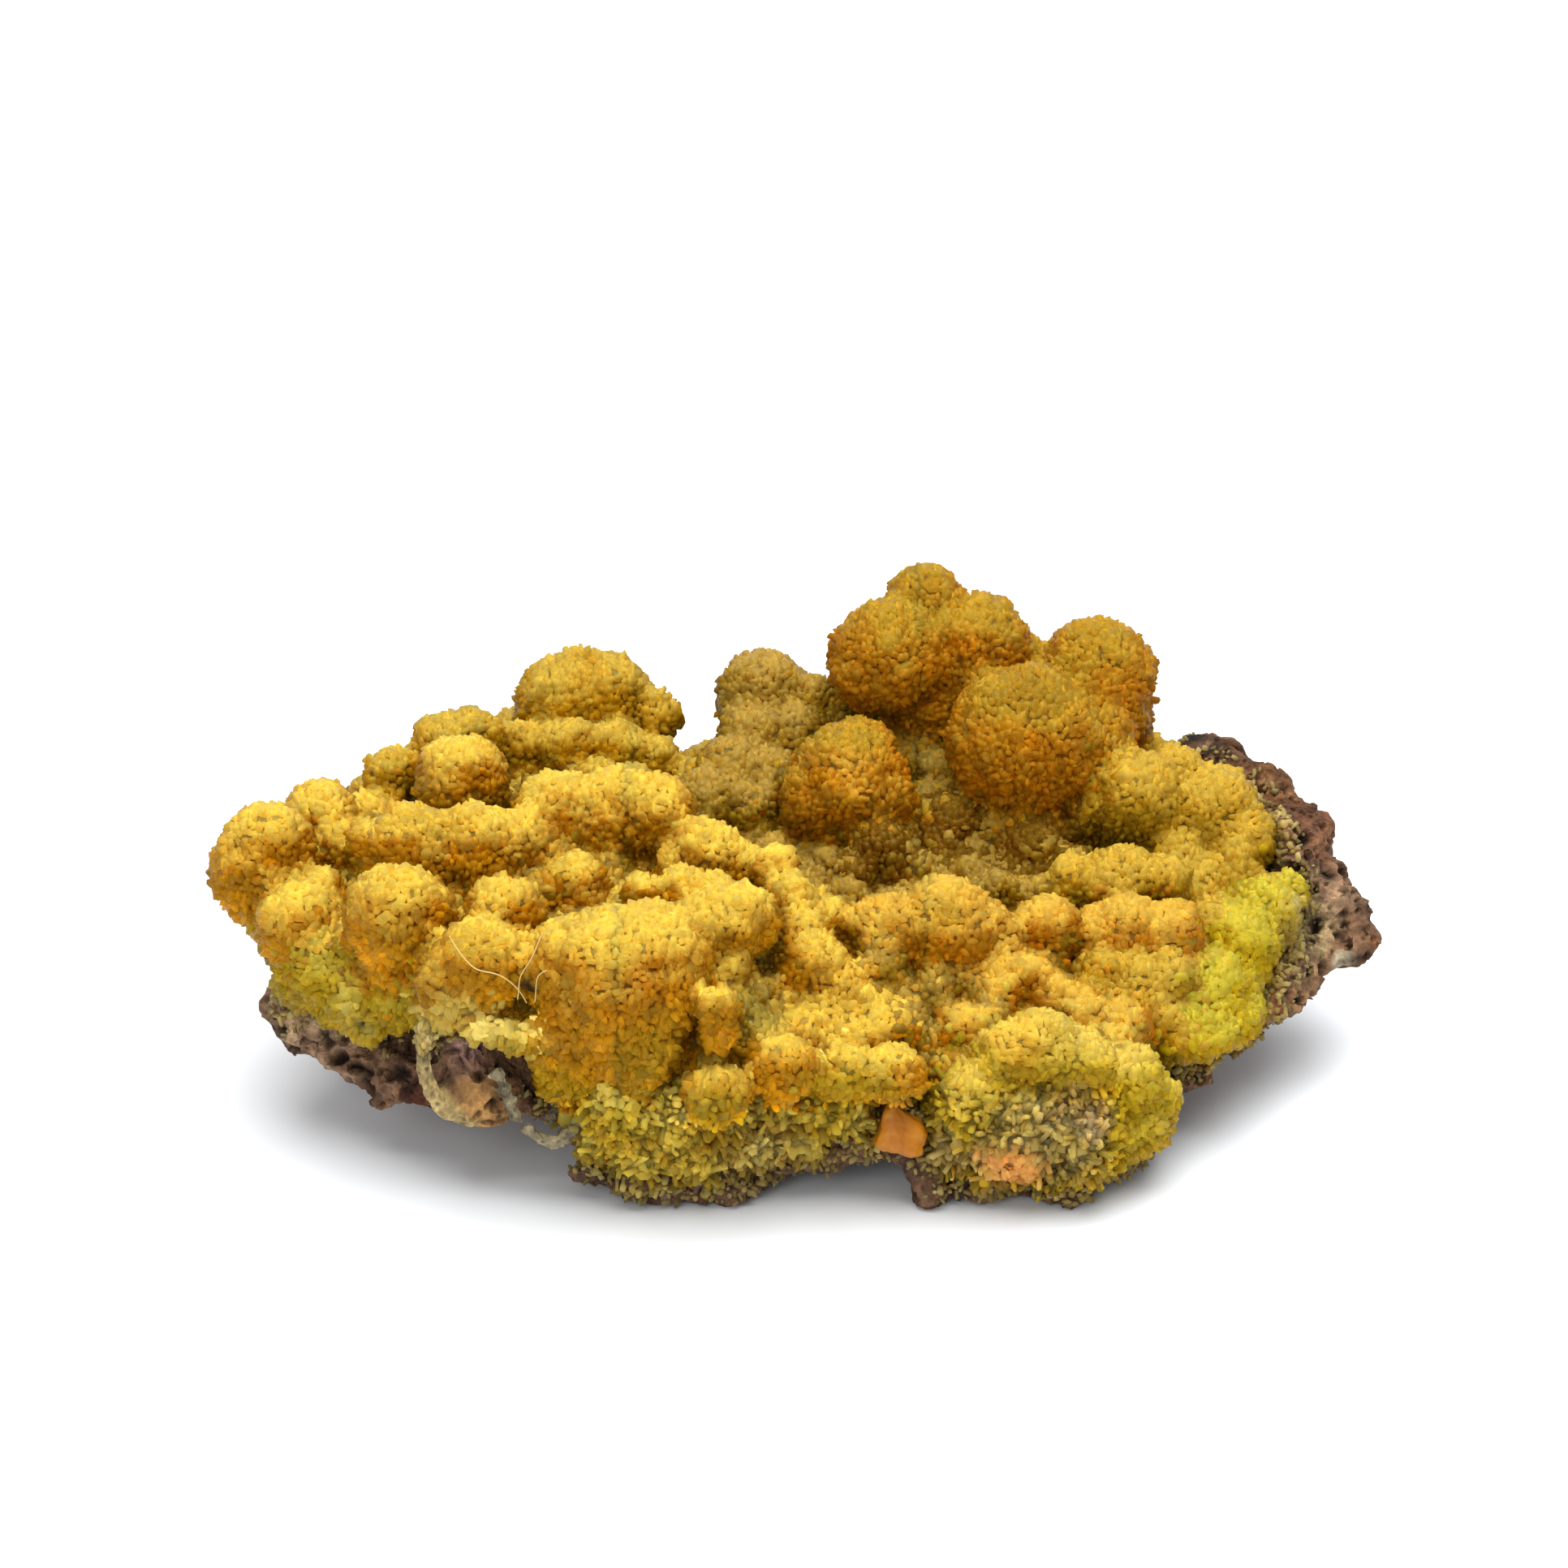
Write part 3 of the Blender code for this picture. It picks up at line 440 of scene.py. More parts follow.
def paint(mesh, name, colours):
    """Keeps a linear colour for each point of the mesh."""
    layer = mesh.color_attributes.new(name, "FLOAT_COLOR", "POINT")
    full = np.ones((len(mesh.vertices), 4), np.float32)
    full[:, :3] = colours
    layer.data.foreach_set("color", full.ravel())


def ball_mesh(name, lumps, inset, rng, wobble, parts=4):
    """Balls, or ellipsoids, that pass through each other, each a little out of round."""
    bm = bmesh.new()
    bmesh.ops.create_icosphere(bm, subdivisions=parts, radius=1.0)
    sphere = np.array([v.co[:] for v in bm.verts])
    faces = np.array([[v.index for v in f.verts] for f in bm.faces])
    bm.free()
    points, corners = [], []
    for n, lump in enumerate(lumps):
        half = np.array(lump[3:6] if len(lump) == 6 else [lump[3]] * 3)
        half = np.maximum(0.25, half - inset)
        seed = Vector([rng.uniform(-50, 50) for _ in range(3)])
        swell = np.array([1 + wobble * noise.noise(Vector(v) * 1.7 + seed) for v in sphere])
        points.append(np.array(lump[:3]) + sphere * half * swell[:, None])
        corners.append(faces + n * len(sphere))
    mesh = bpy.data.meshes.new(name)
    mesh.from_pydata(np.concatenate(points).tolist(), [], np.concatenate(corners).tolist())
    return link(name, mesh)


def join(obj, other):
    """Adds another object's mesh to this one's."""
    bm = bmesh.new()
    bm.from_mesh(obj.data)
    bm.from_mesh(other.data)
    bm.to_mesh(obj.data)
    bm.free()
    bpy.data.objects.remove(other)


def bed_height(x, y):
    """The height of the crust's bed, or nothing beside it."""
    tops = []
    for cx, cy, cz, hx, hy, hz in BED_LUMPS:
        share = ((x - cx) / hx) ** 2 + ((y - cy) / hy) ** 2
        if share < 0.8:
            tops.append(cz + hz * math.sqrt(1 - share))
    return max(tops) if tops else None


def field_balls(balls, rng):
    """Small balls on the bed wherever no listed ball covers it."""
    found = []
    for column in range(-10, 11):
        for row in range(-5, 7):
            x = FIELD_STEP * (column + 0.5 * (row % 2)) + rng.uniform(-0.6, 0.6)
            y = FIELD_STEP * row + rng.uniform(-0.6, 0.6)
            radius = rng.uniform(0.95, 1.45)
            top = bed_height(x, y)
            if top is None:
                continue
            place = Vector((x, y, top + 0.1 * radius))
            if all((place - Vector(ball[:3])).length > ball[3] for ball in balls):
                found.append((*place, radius))
    return found


def hollow(points, centre, radius):
    """Pushes what lies in a ball out to its skin, away from the viewer's side of the piece."""
    offset = points - np.array(centre)
    across = offset[:, 0] ** 2 + offset[:, 2] ** 2
    inside = (across < radius**2) & (np.abs(offset[:, 1]) < radius)
    points[inside, 1] = centre[1] + np.sqrt(radius**2 - across[inside])


def make_body(rng):
    """The crust below its crystals, and the small balls that fill its bed."""
    listed = [ball for _, group in BALLS.values() for ball in group]
    field = field_balls(listed, rng)
    body = ball_mesh("crust_body", BED_LUMPS + listed + field, INSET, rng, BALL_WOBBLE)
    remesh(body, BODY_VOXEL)
    points = coordinates(body.data)
    moved = points.copy()
    for i, (place, normal) in enumerate(zip(points, vertex_normals(body.data))):
        where = Vector(place)
        knob = 1 - min(1.0, noise.voronoi(where / KNOB_SIZE)[0][0] / 0.75) ** 2
        depth = KNOB_DEPTH * (0.5 if normal[2] > 0.55 else 1.0)    # the crests are smoother
        moved[i] += normal * (depth * (knob - 0.72) + 0.08 * noise.noise(where / 0.55))
    for *centre, radius in CRUST_HOLLOWS:
        hollow(moved, centre, radius)
    set_coordinates(body.data, moved)
    return body, field


def sink(points, tree, pits, depth):
    """Presses a round pit into the surface at each place, half as deep again as it is wide."""
    for x, y, z, radius in pits:
        _, at, _ = tree.find(Vector((x, y, z)))
        centre = Vector(points[at])
        for _, i, distance in tree.find_range(centre, radius):
            depth[i] = max(depth[i], 1.5 * math.sqrt(radius**2 - distance**2))


def make_rock(rng):
    """The rock with its ledges, grain and pores, on the frame's own solid."""
    noise.seed_set(7)  # noise_vector takes the clock as its seed without this
    rock = copy_of("matrix", "vesicular_rock")
    remesh(rock, ROCK_VOXEL)
    points = coordinates(rock.data)
    for i, (place, normal) in enumerate(zip(points.copy(), vertex_normals(rock.data))):
        where = Vector(place)
        block = noise.cell(where / 1.15 + 0.5 * noise.noise_vector(where / 0.9))
        coarse = noise.fractal(where / 1.7, 0.9, 2.1, 3)
        ridge = abs(noise.noise(where / 0.95 + Vector((5, 1, 9))))
        points[i] += normal * (0.22 * (block - 0.5) + 0.15 * coarse - 0.3 * ridge + 0.09)
    set_coordinates(rock.data, points)
    join(rock, ball_mesh("small_parts", THIN_WALL + STRAND + NODULE, 0.0, rng, 0.15, parts=3))
    remesh(rock, ROCK_VOXEL)
    points, normals = coordinates(rock.data), vertex_normals(rock.data)
    tree = KDTree(len(points))
    for i, place in enumerate(points):
        tree.insert(place, i)
    tree.balance()
    depth = np.zeros(len(points))
    pores = []
    for _ in range(PORE_COUNT):
        place = points[rng.randrange(len(points))]
        pores.append((*place, min(PORE_MOST, PORE_LEAST + PORE_MEAN * rng.expovariate(1.0))))
    sink(points, tree, pores + ROCK_PITS + NODULE_GROOVE, depth)
    # Shallow on the thin parts, which the pores would cut through
    depth[~outside(points, [(*bead[:3], bead[3] + 0.3) for bead in THIN_WALL + STRAND])] *= 0.25
    fine = clouds(points, 0.45) + 0.7 * clouds(points, 0.2)
    points = points - normals * (depth - 0.11 * fine)[:, None]
    points[:, 2] = np.maximum(points[:, 2], 0.0)
    set_coordinates(rock.data, points)
    paint_rock(rock.data, points, depth)
    return rock


def paint_rock(mesh, points, depth):
    """Keeps the rock's colours, with painted shade nearly black in the holes, and the depth of its pores in the mesh.
    """
    colours = np.tile(linear(ROCK_COLOUR), (len(points), 1))
    ragged = clouds(points, 1.1)
    for x, y, z, reach, colour, strength in ROCK_PATCHES:
        distance = distance_from(points, (x, y, z)) / reach + 0.5 * ragged
        share = strength * np.clip(2.2 - 2.2 * distance, 0, 1)
        colours += share[:, None] * (np.array(linear(colour)) - colours)
    for chain, colour in CHAIN_COLOURS:
        gap = np.min([distance_from(points, centre) - radius for *centre, radius in chain], axis=0)
        share = np.clip(1.2 - 3 * gap, 0, 1)[:, None]
        colours += share * (np.array(linear(colour)) - colours)
    # Painted shade: nearly black inside the holes
    for *centre, reach in PAINTED_SHADE_HOLES:
        colours *= np.clip(2 * distance_from(points, centre) / reach - 1, 0.04, 1)[:, None]
    paint(mesh, "stone", colours)
    sunk = mesh.attributes.new("pore", "FLOAT", "POINT")
    sunk.data.foreach_set("value", np.clip(depth / 0.5, 0, 1).astype(np.float32))


def scatter(mesh, spacing, rng):
    """Places on the mesh no nearer to each other than the spacing, with their normals."""
    points, normals, faces = coordinates(mesh), vertex_normals(mesh), triangles(mesh)
    a, b, c = (points[faces[:, i]] for i in range(3))
    area = 0.5 * np.linalg.norm(np.cross(b - a, c - a), axis=1)
    wanted = int(4.5 * area.sum() / spacing**2)
    chosen = rng.choice(len(faces), wanted, p=area / area.sum())
    u, v = rng.random(wanted), rng.random(wanted)
    flip = u + v > 1
    u[flip], v[flip] = 1 - u[flip], 1 - v[flip]
    weights = np.stack([1 - u - v, u, v], axis=1)[:, :, None]
    place = (points[faces[chosen]] * weights).sum(axis=1)
    normal = unit((normals[faces[chosen]] * weights).sum(axis=1))
    near = [(i, j, k) for i in (-1, 0, 1) for j in (-1, 0, 1) for k in (-1, 0, 1)]
    limit = spacing * spacing
    cells, found = {}, []
    rows = place.tolist()
    for n, (x, y, z) in enumerate(np.floor(place / spacing).astype(int).tolist()):
        px, py, pz = rows[n]
        if any(
            (px - qx) ** 2 + (py - qy) ** 2 + (pz - qz) ** 2 < limit
            for i, j, k in near
            for qx, qy, qz in cells.get((x + i, y + j, z + k), ())
        ):
            continue
        cells.setdefault((x, y, z), []).append((px, py, pz))
        found.append(n)
    return place[found], normal[found]


def crossings(tree, start, way):
    """How often a line from a place passes through the surface."""
    count = 0
    where = tree.ray_cast(start, way)[0]
    while where is not None:
        count += 1
        where = tree.ray_cast(where + way * 0.01, way)[0]
    return count


def signed_gap(places, tree, reach):
    """How far each place is outside a closed surface: less than nothing inside it, and reach where it is far."""
    gap = np.full(len(places), reach)
    up = Vector((0.1, 0.05, 1)).normalized()
    for n, place in enumerate(places):
        at = Vector(place)
        where, normal, _, distance = tree.find_nearest(at, reach)
        if where is not None:
            inside = (at - where).dot(normal) <= 0 and crossings(tree, at, up) % 2 == 1
            gap[n] = -distance if inside else distance
    return gap


def openness(places, normals, tree, reach, rng):
    """The share of directions above each place that see out of the crust."""
    directions = unit(rng.normal(size=(12, 3)))
    found = np.zeros(len(places))
    for n, (place, normal) in enumerate(zip(places, normals)):
        start = Vector(place + normal * 0.25)
        first = (n % 2) * 6
        found[n] = sum(
            tree.ray_cast(start, Vector(normal * 1.15 + turn).normalized(), reach)[0] is None
            for turn in directions[first : first + 6]
        )
    return found / 6


def tints_at(places, balls, rng):
    """Deep, middle and pale colour for each place, from the ball it grew on and the patches."""
    names = list(TINTS)
    table = np.array([[linear(colour) for colour in TINTS[name]] for name in names])
    centres = np.array([ball[:3] for ball, _ in balls])
    sizes = np.array([ball[3] for ball, _ in balls])
    tint = np.array([names.index(name) for _, name in balls])
    colours = np.empty((len(places), 3, 3))
    for start in range(0, len(places), 4000):
        part = places[start : start + 4000]
        part = part + rng.normal(scale=0.6, size=part.shape)
        gap = np.linalg.norm(part[:, None] - centres[None], axis=2) - sizes
        colours[start : start + 4000] = table[tint[np.argmin(gap, axis=1)]]
    ragged = clouds(places, 1.2)
    for x, y, z, reach, name, strength in PATCHES:
        share = 1.6 - 1.6 * distance_from(places, (x, y, z)) / reach + 0.5 * ragged
        share = strength * np.clip(share + rng.normal(scale=0.12, size=len(places)), 0, 1)
        colours += share[:, None, None] * (table[names.index(name)] - colours)
    return colours, table[names.index("olive")]


def blend_three(colours, share):
    """From the deep colour at 0, through the middle one at 0.5, to the pale one at 1."""
    share = share[:, None]
    low = colours[:, 0] + (colours[:, 1] - colours[:, 0]) * np.clip(share * 2, 0, 1)
    return low + (colours[:, 2] - low) * np.clip(share * 2 - 1, 0, 1)


def crystal_mesh(name, places, axes, radii, heights, taper, roots, tips, rng):
    """One mesh of six-sided prisms, a little flattened and slanted, each coloured from its root to its tip."""
    count = len(places)
    helper = np.where(np.abs(axes[:, :1]) < 0.8, [[1.0, 0, 0]], [[0, 1.0, 0]])
    side = unit(np.cross(axes, helper))
    other = np.cross(axes, side)
    turn = rng.random(count) * 2 * math.pi
    tilt = rng.random(count) * 2 * math.pi
    squeeze = 0.74 + 0.56 * rng.random(count)
    slant = 0.15 + 0.5 * rng.random(count)
    points = np.empty((count, 12, 3))
    for k in range(6):
        angle = turn + k * math.pi / 3
        wide, deep = np.cos(angle) * squeeze, np.sin(angle) / squeeze
        ring = side * wide[:, None] + other * deep[:, None]
        points[:, k] = places + ring * radii[:, None] - axes * ROOT_SINK
        top = heights + radii * slant * np.cos(angle - tilt)
        points[:, 6 + k] = places + ring * (radii * taper)[:, None] + axes * top[:, None]
    points[:, :, 2] = np.maximum(points[:, :, 2], FLOOR_CLEARANCE)
    first = np.arange(count) * 12
    quads = np.concatenate(
        [np.stack([first + i for i in (k, (k + 1) % 6, 6 + (k + 1) % 6, 6 + k)], axis=1) for k in range(6)]
    )
    caps = first[:, None] + np.arange(6, 12)[None]
    mesh = bpy.data.meshes.new(name)
    mesh.vertices.add(count * 12)
    mesh.loops.add(quads.size + caps.size)
    mesh.polygons.add(len(quads) + len(caps))
    mesh.vertices.foreach_set("co", points.astype(np.float32).ravel())
    mesh.loops.foreach_set("vertex_index", np.concatenate([quads.ravel(), caps.ravel()]).astype(np.int32))
    starts = np.concatenate([np.arange(len(quads)) * 4, quads.size + np.arange(len(caps)) * 6])
    mesh.polygons.foreach_set("loop_start", starts.astype(np.int32))
    mesh.update(calc_edges=True)
    mesh.validate()
    shade = np.empty((count, 12, 3))
    shade[:, :6] = roots[:, None]
    shade[:, 6:] = tips[:, None]
    paint(mesh, "crystal", shade.reshape(-1, 3))
    return link(name, mesh)


def in_sheets(name, order, columns, rng):
    """Splits the crystals, of 16 triangles each, into several meshes."""
    sheets = max(1, math.ceil(len(order) * 16 / PIECE_TRIANGLES))
    return [
        crystal_mesh(f"{name}_{n + 1}", *(column[share] for column in columns), rng)
        for n, share in enumerate(np.array_split(order, sheets))
    ]


def on_broken_face(places, normals):
    left, right, front, top = BROKEN_FACE
    x, y, z = places.T
    return (normals[:, 1] < 0.15) & (y < front) & (z < top) & (x > left) & (x < right)


def clear_of_floor(places, axes, radii, heights):
    """Whether each crystal is above the floor at its root and at its tip."""
    return np.minimum(places[:, 2] - ROOT_SINK, places[:, 2] + axes[:, 2] * heights) > radii


def druse_colours(places, normals, open_sky, broken, balls, rng):
    """How much each place is a lit crest, from 0 to 1, and the colours of its crystal's root and tip, with painted
    light on crests and painted shade in crevices.
    """
    count = len(places)
    # Painted light and shade: paler where the place faces up and sees out of the crust, deeper where it doesn't
    lit_crest = 0.24 + 0.68 * normals[:, 2] + 0.55 * (open_sky - 0.7) + 0.25 * clouds(places, 1.9)
    lit_crest = np.clip(lit_crest + rng.normal(scale=0.05, size=count), 0, 1)
    colours, olive = tints_at(places, balls, rng)
    # Olive in the crevices, and on what doesn't face up, but not on the broken face: partly the crust's olive tint and
    # partly painted shade
    crevice_shade = np.clip(0.7 - open_sky, 0, 1)[:, None, None]
    colours += crevice_shade * (olive - colours)
    low = np.where(broken, 0, np.clip(0.5 - 1.4 * normals[:, 2], 0, 0.45))[:, None, None]
    colours += low * (olive - colours)
    tips = blend_three(colours, lit_crest)
    tips *= 1 + (0.04 + 0.16 * (1 - lit_crest))[:, None] * rng.normal(size=(count, 1)).clip(-1.5, 1.5)
    # Painted light: on crests the roots are lighter than the tips, lifting the shade between the crystals
    roots = (0.8 + 0.35 * lit_crest)[:, None] * tips + 0.2 * colours[:, 0]
    return lit_crest, roots, tips


def druse_forms(places, normals, lit_crest, crowd, broken, rng):
    """Each crystal's direction, radius, height and taper, and whether it is one of the long ones."""
    count = len(places)
    lean = np.where(broken, 0.65, 0.12 + 0.22 * (1 - lit_crest))[:, None]
    axes = unit(normals + rng.normal(size=(count, 3)) * lean)
    size = rng.random(count)
    heights = (0.13 + 0.07 * size + 0.14 * (1 - lit_crest) * rng.random(count)) * crowd
    tooth = rng.random(count) < TOOTH_SHARE
    heights[tooth] += 0.08 + 0.16 * rng.random(tooth.sum())
    radii = CRYSTAL_SPACING * (0.85 + 0.55 * size**2) * np.clip(crowd + 0.1, 0.6, 1.0)
    radii[tooth] *= 0.75
    taper = 0.6 + 0.14 * lit_crest + 0.26 * rng.random(count)
    long = broken & (rng.random(count) < LONG_SHARE) & outside(places, SMOOTH)
    heights[long] = 0.2 + 0.6 * rng.random(long.sum())
    radii[long] = 0.11 + 0.08 * rng.random(long.sum())
    taper[long] = 0.85 + 0.1 * rng.random(long.sum())
    return axes, radii, heights, taper, long


def make_druse(body, rock, balls):
    """The crystals that cover the crust."""
    rng = np.random.default_rng(11)
    places, normals = scatter(body.data, CRYSTAL_SPACING, rng)
    gap = signed_gap(places, tree_of(rock), 3.0)
    keep = (gap > 0.05) & outside(places, PAINTED_SHADE_HOLES + BARE)
    places, normals, gap = places[keep], normals[keep], gap[keep]
    open_sky = openness(places, normals, tree_of(body), 3.5, rng)
    broken = on_broken_face(places, normals)
    lit_crest, roots, tips = druse_colours(places, normals, open_sky, broken, balls, rng)
    # Crystals stay small where they crowd each other, in crevices and beside the rock
    crowd = np.clip(0.5 + 0.7 * open_sky, 0.45, 1.0) * np.clip(0.5 + gap / 1.2, 0.45, 1.0)
    axes, radii, heights, taper, long = druse_forms(places, normals, lit_crest, crowd, broken, rng)
    tips[long] *= 0.45 + 0.95 * rng.random((long.sum(), 1))
    # Painted shade: the long crystals' roots much darker than their tips, as in the gaps between them
    roots[long] = 0.4 * tips[long]
    clear = clear_of_floor(places, axes, radii, heights)
    columns = tuple(column[clear] for column in (places, axes, radii, heights, taper, roots, tips))
    return in_sheets("mimetite_druse", np.argsort(columns[0][:, 0]), columns, rng)


def make_edge_growth(body, rock, balls):
    """Crystals that thin out over the rock beside the crust, lying down towards its rim."""
    rng = np.random.default_rng(23)
    places, normals = scatter(rock.data, EDGE_SPACING, rng)
    gap = signed_gap(places, tree_of(body), 2.6)
    keep = (gap > 0.1) & (rng.random(len(places)) < np.clip(1.7 - gap / 1.1, 0, 1)) & outside(places, PAINTED_SHADE_HOLES + BARE)
    places, normals, gap = places[keep], normals[keep], gap[keep]
    count = len(places)
    # The crust's own tint beside it, and tan farther out
    colours, _ = tints_at(places, balls, rng)
    tan = np.array([linear(colour) for colour in TINTS["tan"]])
    share = np.clip(0.55 + 0.4 * gap, 0, 1)[:, None, None]
    colours += share * (tan - colours)
    # Painted light: paler where the crystal's ground faces up
    lit_crest = np.clip(0.5 + 0.3 * normals[:, 2] + 0.2 * rng.normal(size=count), 0, 1)
    tips = blend_three(colours, lit_crest) * (1 + 0.15 * rng.normal(size=(count, 1)).clip(-1.5, 1.5))
    axes = unit(normals + rng.normal(size=(count, 3)) * 0.7)
    fade = np.clip(1.15 - gap / 3.2, 0.35, 1)
    heights = (0.08 + 0.34 * rng.random(count)) * fade
    radii = (0.11 + 0.12 * rng.random(count)) * fade
    taper = 0.65 + 0.25 * rng.random(count)
    clear = clear_of_floor(places, axes, radii, heights)
    columns = tuple(column[clear] for column in (places, axes, radii, heights, taper, 0.7 * tips, tips))
    return in_sheets("edge_growth", np.arange(clear.sum()), columns, rng)


def paint_body(body, balls):
    """Keeps the ground's colour between the crystals in the mesh: painted light facing up, painted shade nearly black
    in the holes.
    """
    rng = np.random.default_rng(5)
    points = coordinates(body.data)
    colours, _ = tints_at(points, balls, rng)
    # Painted light: paler where the ground faces up
    shade = blend_three(colours, np.clip(0.35 + 0.6 * vertex_normals(body.data)[:, 2], 0, 1))
    # Painted shade: nearly black inside the holes
    for *centre, reach in PAINTED_SHADE_HOLES:
        shade = shade * np.clip(2 * distance_from(points, centre) / reach - 1.2, 0.03, 1)[:, None]
    paint(body.data, "crystal", shade)


def new_material(name):
    material = bpy.data.materials.new(name)
    material.use_nodes = True
    return material, material.node_tree, material.node_tree.nodes["Principled BSDF"]


def set_values(shader, **values):
    """Sets the shader's own sockets."""
    for name, value in values.items():
        shader.inputs[name.replace("_", " ")].default_value = value


def let_light_in(shader, weight, radius, depth):
    """Light inside the mineral: how much, how far each colour goes, and how deep in millimetres."""
    shader.subsurface_method = "BURLEY"
    set_values(shader, Subsurface_Weight=weight, Subsurface_Radius=radius, Subsurface_Scale=depth * MM)


def set_ramp(node, stops):
    elements = node.color_ramp.elements
    while len(elements) < len(stops):
        elements.new(0.5)
    for element, (position, colour) in zip(elements, stops):
        element.position = position
        element.color = (*linear(colour), 1)


def mimetite(name, cloud_size, detail, least, most):
    """Mimetite in the colours kept in its mesh, a little lighter or darker in clouds of the size given in mm."""
    material, tree, shader = new_material(name)
    tint = add(tree, "ShaderNodeAttribute", (-900, 0), attribute_name="crystal")
    place = add(tree, "ShaderNodeTexCoord", (-1100, -300))
    spot = (place.outputs["Object"], "Vector")
    cloud = add(tree, "ShaderNodeTexNoise", (-900, -300), [spot], Scale=1 / (cloud_size * MM), Detail=detail)
    level = add(tree, "ShaderNodeMapRange", (-700, -300), [(cloud.outputs["Fac"], "Value")], To_Min=least, To_Max=most)
    both = [(tint.outputs["Color"], 0), (level.outputs["Result"], "Scale")]
    shade = add(tree, "ShaderNodeVectorMath", (-450, 0), both, operation="SCALE")
    tree.links.new(shade.outputs["Vector"], shader.inputs["Base Color"])
    return material, shader


def mimetite_druse():
    """Mimetite grown as a druse of small prisms: a greasy, not glassy lustre with soft small highlights, light that
    goes in and comes out warm orange between the crystals, and paler tips."""
    material, shader = mimetite("mimetite_grown_druse", TINT_CLOUD, 2.0, 0.86, 1.14)
    set_values(shader, Roughness=0.45, IOR=2.1, Specular_IOR_Level=0.1, Specular_Tint=(*linear("#FFE47C"), 1))
    let_light_in(shader, 0.85, (1.0, 0.6, 0.2), 0.8)
    return material


def mimetite_ground():
    """Mimetite grown massive, under the druse: dull, less clear, seen only as the darker ground between crystals."""
    material, shader = mimetite("mimetite_grown_massive", CRUST_MOTTLE, 3.0, 0.8, 1.1)
    set_values(shader, Roughness=0.6, IOR=2.1, Specular_IOR_Level=0.05)
    let_light_in(shader, 0.6, (1.0, 0.6, 0.2), 0.8)
    return material


def vesicular_lava():
    """Vesicular lava, broken and then weathered: no polish or highlights, gritty, with painted shade nearly black in
    its pores.
    """
    material, tree, shader = new_material("lava_broken_weathered")
    place = add(tree, "ShaderNodeTexCoord", (-1600, 0))
    spot = (place.outputs["Object"], "Vector")
    stone = add(tree, "ShaderNodeAttribute", (-1100, 300), attribute_name="stone")
    pore = add(tree, "ShaderNodeAttribute", (-1100, -500), attribute_name="pore")
    # Blotches of brown and mauve
    broad = add(
        tree, "ShaderNodeTexNoise", (-1350, 100), [spot], Scale=1 / (ROCK_MOTTLE * MM), Detail=5.0, Roughness=0.65
    )
    level = add(tree, "ShaderNodeValToRGB", (-1100, 100), [(broad.outputs["Fac"], "Fac")])
    set_ramp(level, [(0.32, "#4A4440"), (0.47, "#A09894"), (0.58, "#C4BCB4"), (0.72, "#F8F2E8")])
    both = [(stone.outputs["Color"], 6), (level.outputs["Color"], 7)]
    mottled = add(tree, "ShaderNodeMix", (-800, 200), both, data_type="RGBA", blend_type="MULTIPLY", Factor=1.0)
    # Grains lighter and darker than the rest
    speck = add(tree, "ShaderNodeTexNoise", (-1350, -150), [spot], Scale=1 / (ROCK_GRIT * MM), Detail=3.0)
    light = add(
        tree, "ShaderNodeMapRange", (-1100, -150), [(speck.outputs["Fac"], "Value")],
        From_Min=0.35, From_Max=0.65, To_Min=1.35, To_Max=2.3,
    )
    both = [(mottled.outputs[2], 0), (light.outputs["Result"], "Scale")]
    shade = add(tree, "ShaderNodeVectorMath", (-550, 150), both, operation="SCALE")
    # Painted shade: pinholes darkened in some of the cells, and the pores pressed into the mesh darkened by their depth
    cells = add(tree, "ShaderNodeTexVoronoi", (-1350, -350), [spot], Scale=1 / (ROCK_PINHOLES * MM))
    hole = add(
        tree, "ShaderNodeMapRange", (-1100, -330), [(cells.outputs["Distance"], "Value")],
        From_Min=0.12, From_Max=0.34, To_Min=1.0, To_Max=0.0,
    )
    some = add(
        tree, "ShaderNodeMapRange", (-1100, -600), [(cells.outputs["Color"], "Value")],
        From_Min=0.45, From_Max=0.8, To_Min=0.0, To_Max=0.75,
    )
    both = [(hole.outputs["Result"], 0), (some.outputs["Result"], 1)]
    small = add(tree, "ShaderNodeMath", (-900, -600), both, operation="MULTIPLY")
    both = [(pore.outputs["Fac"], 0), (small.outputs[0], 1)]
    deep = add(tree, "ShaderNodeMath", (-800, -400), both, operation="MAXIMUM")
    both = [(deep.outputs[0], 0), (shade.outputs["Vector"], 6)]
    pore_shade = add(tree, "ShaderNodeMix", (-300, 0), both, data_type="RGBA")
    pore_shade.inputs[7].default_value = (*linear("#1E120C"), 1)
    tree.links.new(pore_shade.outputs[2], shader.inputs["Base Color"])
    height = (speck.outputs["Fac"], "Height")
    grit = add(tree, "ShaderNodeBump", (-350, -400), [height], Strength=0.9, Distance=0.2 * MM)
    both = [(broad.outputs["Fac"], "Height"), (grit.outputs["Normal"], "Normal")]
    grain = add(tree, "ShaderNodeBump", (-150, -400), both, Strength=1.0, Distance=0.4 * MM)
    tree.links.new(grain.outputs["Normal"], shader.inputs["Normal"])
    set_values(shader, Roughness=0.9, Specular_IOR_Level=0.25)
    return material


